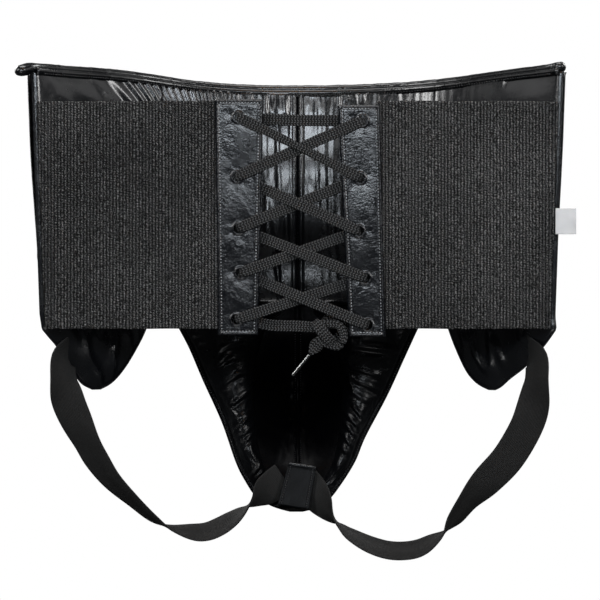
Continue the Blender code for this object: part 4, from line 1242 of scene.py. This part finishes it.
def build_panel(side, mats):
    """Leather face and backing of one lacing panel, with stitches and punched holes."""
    word = "left" if side < 0 else "right"
    body = word + "_lacing"
    holes = LEFT_HOLES if side < 0 else RIGHT_HOLES
    top, bottom = (0.0810, -0.0840) if side < 0 else (0.0770, -0.0850)
    heights = np.linspace(top, bottom, 236)
    low, high = panel_edges(side, heights)
    x, z = row_grid(heights, low, high, 54)
    wide = edge_room(x, z, side)
    half = ELASTIC_THICK / 2 + GAP
    lip = np.zeros_like(x)
    pull = np.zeros_like(x)
    for hx, hz in holes:
        d = np.hypot(x - hx, z - hz)
        angle = np.arctan2(z - hz, x - hx)
        lip += 0.00085 * np.exp(-((d - HOLE_RADIUS - 0.0003) / 0.0006) ** 2)
        pull += -0.0005 * np.exp(-(d / 0.0085) ** 2)
        pull += 0.00010 * np.cos(angle * 5 + hz * 300) * np.exp(-((d - 0.007) / 0.003) ** 2)
    groove = -0.00040 * np.exp(-((wide - 0.0027) / 0.00045) ** 2)
    welt = 0.00025 * np.exp(-((wide - 0.0012) / 0.0008) ** 2)
    fold_side = (x - low[:, None]) if side < 0 else (high[:, None] - x)
    ridge = 0.0009 * np.exp(-((fold_side - 0.0016) / 0.0014) ** 2)
    relief = 0.00070 * noise_at(x * 30, z * 24, 3.0 + side)
    relief += 0.00010 * noise_at(x * 160 + z * 90, z * 90, 8.0)
    relief += 0.00009 * creases(noise_at(x * 60 + z * 50, z * 40, 5.0 + side), 1.5)
    inner = smooth((wide - 0.003) / 0.003)
    rise = PANEL_FACE + (lip + pull + relief) * inner + groove + welt + ridge
    rise = rise - rounding(wide, 0.0011) * (PANEL_FACE - 0.0002)
    near = np.stack([x, back_y(x) - half - np.maximum(rise, 0.0004), z], -1)
    far = np.stack([x, back_y(x) - half + 0 * x, z], -1)
    face = closed_sheet(word + "_lacing_leather", near, far, mats["panel_leather"])
    punch(face, side)
    finish_piece(face, body, "leather", word + "_lacing_face")
    inside = rounding(wide, 0.0010) * (PANEL_BACKING - 0.0003)
    near = np.stack([x, back_y(x) + half + 0 * x, z], -1)[::3, ::3]
    far = np.stack([x, back_y(x) + half + PANEL_BACKING - inside + relief * 0.5, z], -1)[::3, ::3]
    backing = closed_sheet(word + "_backing_leather", near, far, mats["panel_leather"])
    punch(backing, side)
    finish_piece(backing, body, "leather", word + "_lacing_backing")
    inset = 0.0027
    t = np.linspace(0, 1, 200)
    low_line = np.stack([panel_edges(side, top - (top - bottom) * t)[0] + inset,
                         top - (top - bottom) * t], -1)
    high_line = np.stack([panel_edges(side, top - (top - bottom) * t)[1] - inset,
                          top - (top - bottom) * t], -1)
    lines = {
        "low": low_line[(low_line[:, 1] < top - inset) & (low_line[:, 1] > bottom + inset)],
        "high": high_line[(high_line[:, 1] < top - inset) & (high_line[:, 1] > bottom + inset)],
    }
    lines["top"] = np.stack([np.linspace(lines["low"][0, 0], lines["high"][0, 0], 40),
                             np.full(40, top - inset)], -1)
    lines["bottom"] = np.stack([np.linspace(lines["low"][-1, 0], lines["high"][-1, 0], 40),
                                np.full(40, bottom + inset)], -1)
    rows = []
    for key, line in lines.items():
        y = back_y(line[:, 0]) - half - PANEL_FACE + 0.00022
        rows.append(stitches("%s_panel_%s" % (word, key),
                             np.stack([line[:, 0], y, line[:, 1]], -1), (0, -1, 0),
                             mats["thread"]))
    finish_piece(join(rows, word + "_lacing_stitches"), body, "leather")


def edge_room(x, z, side):
    """Distance from a lacing panel's nearest edge."""
    low, high = panel_edges(side, z)
    top, bottom = (0.0810, -0.0840) if side < 0 else (0.0770, -0.0850)
    return np.minimum(np.minimum(x - low, high - x), np.minimum(top - z, z - bottom))


# ---- the lace -------------------------------------------------------------------------------
LACE_OUT = -ELASTIC_THICK / 2 - GAP - PANEL_FACE - GAP - 0.0010
LACE_IN = ELASTIC_THICK / 2 + GAP + PANEL_BACKING + GAP + 0.0010


def lace_point(x, z, level, width=LACE_WIDTH, thick=LACE_THICK):
    """One route point; level is its depth from the back, less than 0 away from the wearer."""
    return [x, float(back_y(x)) + level, z, width, thick]


def through_hole(hole, before, after, outwards):
    x, z = hole
    first, last = (LACE_IN, LACE_OUT) if outwards else (LACE_OUT, LACE_IN)
    sign = 1.0 if first > last else -1.0
    width, thick = LACE_HOLE_WIDTH, LACE_HOLE_THICK
    mean = (LACE_WIDTH + width) / 2
    return [
        lace_point(x - before[0] * 0.0085, z - before[1] * 0.0085, first),
        lace_point(x - before[0] * 0.0040, z - before[1] * 0.0040, first + sign * 0.0006, mean),
        lace_point(x - before[0] * 0.0008, z - before[1] * 0.0008, first - sign * 0.0010,
                   width, thick),
        lace_point(x, z, (first + last) / 2, width, thick),
        lace_point(x + after[0] * 0.0008, z + after[1] * 0.0008, last + sign * 0.0010,
                   width, thick),
        lace_point(x + after[0] * 0.0040, z + after[1] * 0.0040, last - sign * 0.0006, mean),
        lace_point(x + after[0] * 0.0085, z + after[1] * 0.0085, last),
    ]


def heading(start, end):
    """Direction from one hole to another, in x and z."""
    length = math.hypot(end[0] - start[0], end[1] - start[1])
    return (end[0] - start[0]) / length, (end[1] - start[1]) / length


def crossing(start, end, first, last, middle, width):
    found = []
    for t in (0.24, 0.37, 0.5, 0.63, 0.76):
        x = start[0] + (end[0] - start[0]) * t
        z = start[1] + (end[1] - start[1]) * t
        if t < 0.5:
            level = first + (middle - first) * float(smooth((t - 0.20) / 0.30))
        else:
            level = middle + (last - middle) * float(smooth((t - 0.5) / 0.26))
        pinch = width if abs(t - 0.5) < 0.01 else (width + LACE_WIDTH) / 2
        found.append(lace_point(x, z, level, pinch))
    return found


def knot_heading(hole):
    """Direction in which the lace leaves its last hole."""
    return (1.0, -0.02) if hole[0] < 0 else (-0.92, 0.39)


def lace_side(own, other, over):
    """Half of the lacing, from its top hole down; over says which half lies on top first."""
    stops = [own[0], other[1], own[2], other[3], own[4]]
    route = through_hole(own[0], heading(other[0], own[0]), heading(stops[0], stops[1]), True)
    for k in range(4):
        start, end = stops[k], stops[k + 1]
        first = LACE_OUT if k == 0 else LACE_IN
        on_top = over if k % 2 == 0 else not over
        if k == 0:
            middle = LACE_OUT - 0.0014 if on_top else LACE_OUT + 0.0016
        else:
            middle = LACE_OUT + 0.0008 if on_top else LACE_IN - 0.0018
        narrow = 0.0048 if (k == 0 and on_top) else LACE_WIDTH
        route += crossing(start, end, first, LACE_OUT, middle, narrow)
        after = heading(end, stops[k + 2]) if k < 3 else knot_heading(end)
        route += through_hole(end, heading(start, end), after, False)
    return route


def lace_route():
    """The whole lace: tucked end, right half, top bar, left half, and up to the knot."""
    right_half = lace_side(RIGHT_HOLES, LEFT_HOLES, False)
    left_half = lace_side(LEFT_HOLES, RIGHT_HOLES, True)
    bar = [lace_point(x, z, LACE_IN) for x, z in
           ((0.0240, 0.0664), (0.0020, 0.0664), (-0.0200, 0.0672))]
    narrow = 0.0060
    tucked = [
        lace_point(0.0560, -0.0450, LACE_IN + 0.0026, 0.0030, 0.0024),
        lace_point(0.0480, -0.0560, LACE_IN + 0.0030, narrow),
        lace_point(0.0400, -0.0690, LACE_IN + 0.0034, narrow),
        lace_point(0.0310, -0.0830, LACE_IN + 0.0040, narrow),
        lace_point(0.0230, -0.0890, LACE_IN + 0.0034, narrow),
        lace_point(0.0170, -0.0830, LACE_IN + 0.0020, narrow),
        lace_point(0.0200, -0.0740, LACE_IN + 0.0004, narrow),
        lace_point(0.0280, -0.0695, LACE_IN, LACE_WIDTH),
    ]
    end = [
        lace_point(-0.0200, -0.0770, LACE_IN),
        lace_point(0.0000, -0.0778, LACE_IN - 0.0020),
        lace_point(0.0120, -0.0785, LACE_IN - 0.0040, 0.0070),
    ]
    return tucked + right_half[::-1] + bar + left_half + end


def knot_route():
    """The loop that the lace ends in, up to where its tail hangs."""
    narrow = 0.0060
    return [
        lace_point(0.0105, -0.0784, LACE_IN - 0.0037, 0.0070),
        lace_point(0.0210, -0.0765, LACE_IN - 0.0050, narrow, 0.0020),
        lace_point(0.0290, -0.0775, LACE_IN - 0.0060, narrow, 0.0022),
        lace_point(0.0322, -0.0850, LACE_IN - 0.0062, narrow, 0.0022),
        lace_point(0.0285, -0.0915, LACE_IN - 0.0068, narrow, 0.0022),
        lace_point(0.0205, -0.0905, LACE_IN - 0.0078, 0.0050, 0.0022),
        lace_point(0.0168, -0.0875, LACE_IN - 0.0090, 0.0045),
    ]


def with_across(route):
    """Adds the braid's sideways direction to each route point."""
    side = None
    found = []
    for k, point in enumerate(route):
        before = Vector(route[max(k - 1, 0)][:3])
        after = Vector(route[min(k + 1, len(route) - 1)][:3])
        along = (after - before).normalized()
        flat = Vector((along.x, 0.0, along.z))
        if flat.length > 0.25 or side is None:
            across = Vector((-flat.z, 0.0, flat.x)).normalized()
        else:
            across = side.copy()
        if side is not None and across.dot(side) < 0:
            across.negate()
        if side is not None:
            across = (across * 0.6 + side * 0.4).normalized()
        side = across
        found.append(list(point) + list(across))
    return found


def braid(name, route, mat, spacing=0.00045, relief=0.00018):
    """A flat braid along route points of x, y, z, width, thickness and sideways direction."""
    dense = catmull(route, 14)
    steps = np.linalg.norm(np.diff(dense[:, :3], axis=0), axis=1)
    run = np.concatenate([[0], np.cumsum(steps)])
    count = int(run[-1] / spacing)
    s = np.linspace(0, run[-1], count)
    line = np.stack([np.interp(s, run, dense[:, i]) for i in range(8)], -1)
    centre, width, thick, across = line[:, :3], line[:, 3], line[:, 4], line[:, 5:]
    along = np.gradient(centre, axis=0)
    along /= np.linalg.norm(along, axis=1)[:, None]
    across = across - along * (across * along).sum(1)[:, None]
    across /= np.linalg.norm(across, axis=1)[:, None]
    normal = np.cross(along, across)
    sides = 26
    turn = np.linspace(0, 2 * math.pi, sides, endpoint=False)
    cx = np.sign(np.cos(turn)) * np.abs(np.cos(turn)) ** 0.75
    cy = np.sign(np.sin(turn)) * np.abs(np.sin(turn)) ** 0.55
    rings, uvs = [], []
    for k in range(count):
        v = cx * width[k] / 2
        fold = np.abs((v / BRAID_COLUMN + 0.5) % 2 - 1) * BRAID_COLUMN
        strand = np.abs(np.sin(math.pi * (s[k] + fold * 0.8) / BRAID_PITCH)) ** 0.6
        column = np.sin(math.pi * fold / BRAID_COLUMN) ** 0.5
        bulge = relief * (strand * column * 2 - 1) * np.abs(cy)
        rings.append(centre[k] + across[k] * v[:, None]
                     + normal[k] * (cy * thick[k] / 2 + np.sign(cy) * bulge)[:, None])
        uvs += [(s[k] * 100, value * 100) for value in v]
    return tube(name, rings, mat, uvs)


def aglet(name, start, direction, mat):
    """Rolled tip with a seam groove and crimped ends."""
    along = Vector(direction).normalized()
    across = along.cross(Vector((0.0, 1.0, 0.0))).normalized()
    normal = along.cross(across)
    rings = []
    for share, size in ((0, 0.80), (0.01, 0.97), (0.05, 1.0), (0.10, 0.90), (0.14, 1.0),
                        (0.5, 1.0), (0.92, 1.0), (0.97, 0.93), (1.0, 0.70)):
        ring = []
        for k in range(20):
            angle = 2 * math.pi * k / 20
            notch = 0.82 if k == 3 else 1.0
            radius = 0.0012 * size * notch
            ring.append(np.array(Vector(start) + along * (0.0190 * share)
                                 + across * (radius * math.cos(angle))
                                 + normal * (radius * math.sin(angle))))
        rings.append(np.array(ring))
    return tube(name, rings, mat)


def knot_wrap():
    """The short turn of braid laid across the knot."""
    level = LACE_IN - 0.0100
    return [
        lace_point(0.0120, -0.0748, level + 0.0050, 0.0062, 0.0020),
        lace_point(0.0134, -0.0764, level + 0.0010, 0.0074, 0.0022),
        lace_point(0.0162, -0.0800, level - 0.0008, 0.0084, 0.0024),
        lace_point(0.0202, -0.0850, level - 0.0004, 0.0080, 0.0022),
        lace_point(0.0238, -0.0885, level + 0.0012, 0.0072, 0.0020),
        lace_point(0.0250, -0.0893, level + 0.0042, 0.0060, 0.0018),
    ]


def half_of(obj, side, name):
    """A copy of the part of a mesh on one side of the centre plane."""
    half = bpy.data.objects.new(name, obj.data.copy())
    bpy.context.scene.collection.objects.link(half)
    bm = bmesh.new()
    bm.from_mesh(half.data)
    bmesh.ops.bisect_plane(bm, geom=bm.verts[:] + bm.edges[:] + bm.faces[:],
                           plane_co=(0, 0, 0), plane_no=(side, 0, 0), clear_inner=True)
    bm.to_mesh(half.data)
    bm.free()
    return half


def build_lace(mats):
    """Laced part, knot, tail and aglets."""
    route = with_across(lace_route())
    whole = braid("lace_braid", route, mats["lace"])
    start = Vector(route[0][:3])
    direction = (start - Vector(route[1][:3])).normalized()
    tip = aglet("tucked_aglet_metal", start + direction * 0.0003, direction, mats["metal"])
    pieces = [("left", half_of(whole, -1, "lace_left_braid"), "lace", "lace"),
              ("right", half_of(whole, 1, "lace_right_braid"), "lace", "lace"),
              ("right", tip, "metal", "tucked_aglet")]
    bpy.data.objects.remove(whole)
    for word, piece, slot, node in pieces:
        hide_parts(node)
        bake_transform(piece)
    loop = with_across(knot_route())
    knot = join([braid("lace_knot_braid", loop, mats["lace"]),
                 braid("lace_wrap", with_across(knot_wrap()), mats["lace"])], "lace_knot_braid")
    finish_piece(knot, "laced_part", "lace", "lace")
    last = loop[-1][1]
    tail = [
        [0.0180, last + 0.0006, -0.0868, 0.0045, 0.0026],
        [0.0150, last + 0.0002, -0.0890, 0.0086, 0.0016],
        [0.0122, -0.0605, -0.0925, 0.0092, 0.0016],
        [0.0100, -0.0605, -0.0956, 0.0052, 0.0022],
        [0.0085, -0.0605, -0.0974, 0.0026, 0.0024],
    ]
    end = braid("lace_tail_braid", with_across(tail), mats["lace"])
    finish_piece(end, "tail", "lace", "lace_tail")
    tip = aglet("lace_aglet_metal", (0.0083, -0.0605, -0.0977), (-0.0100, 0.0, -0.0122),
                mats["metal"])
    finish_piece(tip, "tail", "metal", "lace_aglet")


# ---- leg straps and tag ---------------------------------------------------------------------
def build_strap(word, route, mats):
    """Leg strap: webbing with fine lengthwise cords, turning about its own line."""
    points = catmull(route, 8)
    along = np.gradient(points[:, :3], axis=0)
    along /= np.linalg.norm(along, axis=1)[:, None]
    side = np.cross(along, np.array([0.0, 1.0, 0.0]))
    side /= np.linalg.norm(side, axis=1)[:, None]
    normal = np.cross(along, side)
    turn = np.radians(points[:, 3])[:, None]
    across = side * np.cos(turn) + normal * np.sin(turn)
    up = normal * np.cos(turn) - side * np.sin(turn)
    run = np.concatenate([[0], np.cumsum(np.linalg.norm(np.diff(points[:, :3], axis=0), axis=1))])
    cords = 22
    spots = np.linspace(-0.5, 0.5, cords * 2 + 1)
    swell = 0.00012 * np.abs(np.sin(np.arange(cords * 2 + 1) * math.pi / 2))
    edge = np.sqrt(np.clip(1 - (np.abs(spots) * 2) ** 14, 0.04, 1))
    rings, uvs = [], []
    for k in range(len(points)):
        top = spots * STRAP_WIDTH
        high = (STRAP_THICK / 2 - 0.00012) * edge + swell
        upper = points[k, :3] + across[k] * top[:, None] + up[k] * high[:, None]
        lower = points[k, :3] + across[k] * top[::-1, None] - up[k] * high[::-1, None]
        rings.append(np.vstack([upper, lower]))
        uvs += [(run[k] * 100, t * 100) for t in list(top) + list(top[::-1])]
    strap = tube(word + "_leg_strap_webbing", rings, mats["webbing"], uvs)
    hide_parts(word + "_leg_strap")
    first, last = np.array(route[1][:3]), np.array(route[-1][:3])
    axis = (last - first) / np.linalg.norm(last - first)
    down = np.array([0, 0, -1.0]) - axis * np.dot(axis, [0, 0, -1.0])
    down /= np.linalg.norm(down)
    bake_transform(strap)


def build_tag(mats):
    """Blank folded care label, slightly curled."""
    low, high = -0.0133, 0.0049
    near, far = 0.1812, 0.1955
    rows, columns = 26, 24
    x, z = row_grid(np.linspace(high, low, rows), np.full(rows, near), np.full(rows, far),
                    columns)
    share = (x - near) / (far - near)
    curl = -0.0010 * share ** 2 + 0.0003 * np.sin(z * 420) * share
    y = -0.0512 + curl
    fold = 0.00035 + 0.00015 * np.exp(-((share - 0.97) / 0.05) ** 2)
    front = np.stack([x, y - fold, z], -1)
    back = np.stack([x, y + fold, z], -1)
    tag = closed_sheet("care_tag_label", front, back, mats["tag"])
    finish_piece(tag, "label", "tag", "care_tag")


# ---- all together ---------------------------------------------------------------------------
def make_materials():
    """Every material, by the name that the pieces use."""
    return {
        "leather": leather_material("black_leather", (0.0010, 0.0011, 0.0014),
                                    (0.0020, 0.0022, 0.0028), 0.27, 1.0, 0.15),
        "roll_leather": leather_material("roll_leather", (0.0009, 0.0010, 0.0013),
                                         (0.0018, 0.0020, 0.0026), 0.27, 0.7, 0.0, 0.20),
        "lining_leather": leather_material("lining_leather", (0.0012, 0.0014, 0.0020),
                                           (0.0026, 0.0030, 0.0040), 0.24, 0.8, 0.25),
        # darker, duller copy of the leather for the cup recess: painted shade
        "recess_shade_leather": leather_material("recess_shade_leather", (0.0004, 0.0004, 0.0007),
                                           (0.0008, 0.0008, 0.0011), 0.32, 0.8, 0.0, 0.05),
        "panel_leather": leather_material("panel_leather", (0.0010, 0.0013, 0.0021),
                                          (0.0022, 0.0027, 0.0040), 0.24, 2.0, 0.06, 0.45,
                                          0.30),
        "tab_leather": leather_material("tab_leather", (0.0010, 0.0013, 0.0018),
                                        (0.0020, 0.0024, 0.0031), 0.55, 1.2, 0.0, 0.12),
        "elastic": elastic_material(),
        "webbing": webbing_material(),
        "lace": braid_material(),
        "thread": thread_material("sewing_thread", (0.10, 0.105, 0.11), (0.42, 0.43, 0.45)),
        "dark_thread": thread_material("dark_thread", (0.006, 0.006, 0.007),
                                       (0.020, 0.020, 0.022)),
        "foam": foam_material(),
        "plastic": plastic_material(),
        "metal": metal_material(),
        "tag": tag_material(),
    }


def main():
    make_camera()
    make_lights()
    make_world()
    make_stage()
    mats = make_materials()
    build_lace(mats)
    for side in (-1, 1):
        build_lining(side, mats)
        build_cup_roll(side, mats)
        build_elastic(side, mats)
        build_panel(side, mats)
    build_section("left", "left_hip", HIP_THICK, mats)
    build_section("belly", "belly", BELLY_THICK, mats)
    build_section("right", "right_hip", HIP_THICK, mats)
    build_top_edge(mats)
    build_cup(mats)
    build_tab(mats)
    build_strap("left", LEFT_STRAP_ROUTE, mats)
    build_strap("right", RIGHT_STRAP_ROUTE, mats)
    build_tag(mats)


main()
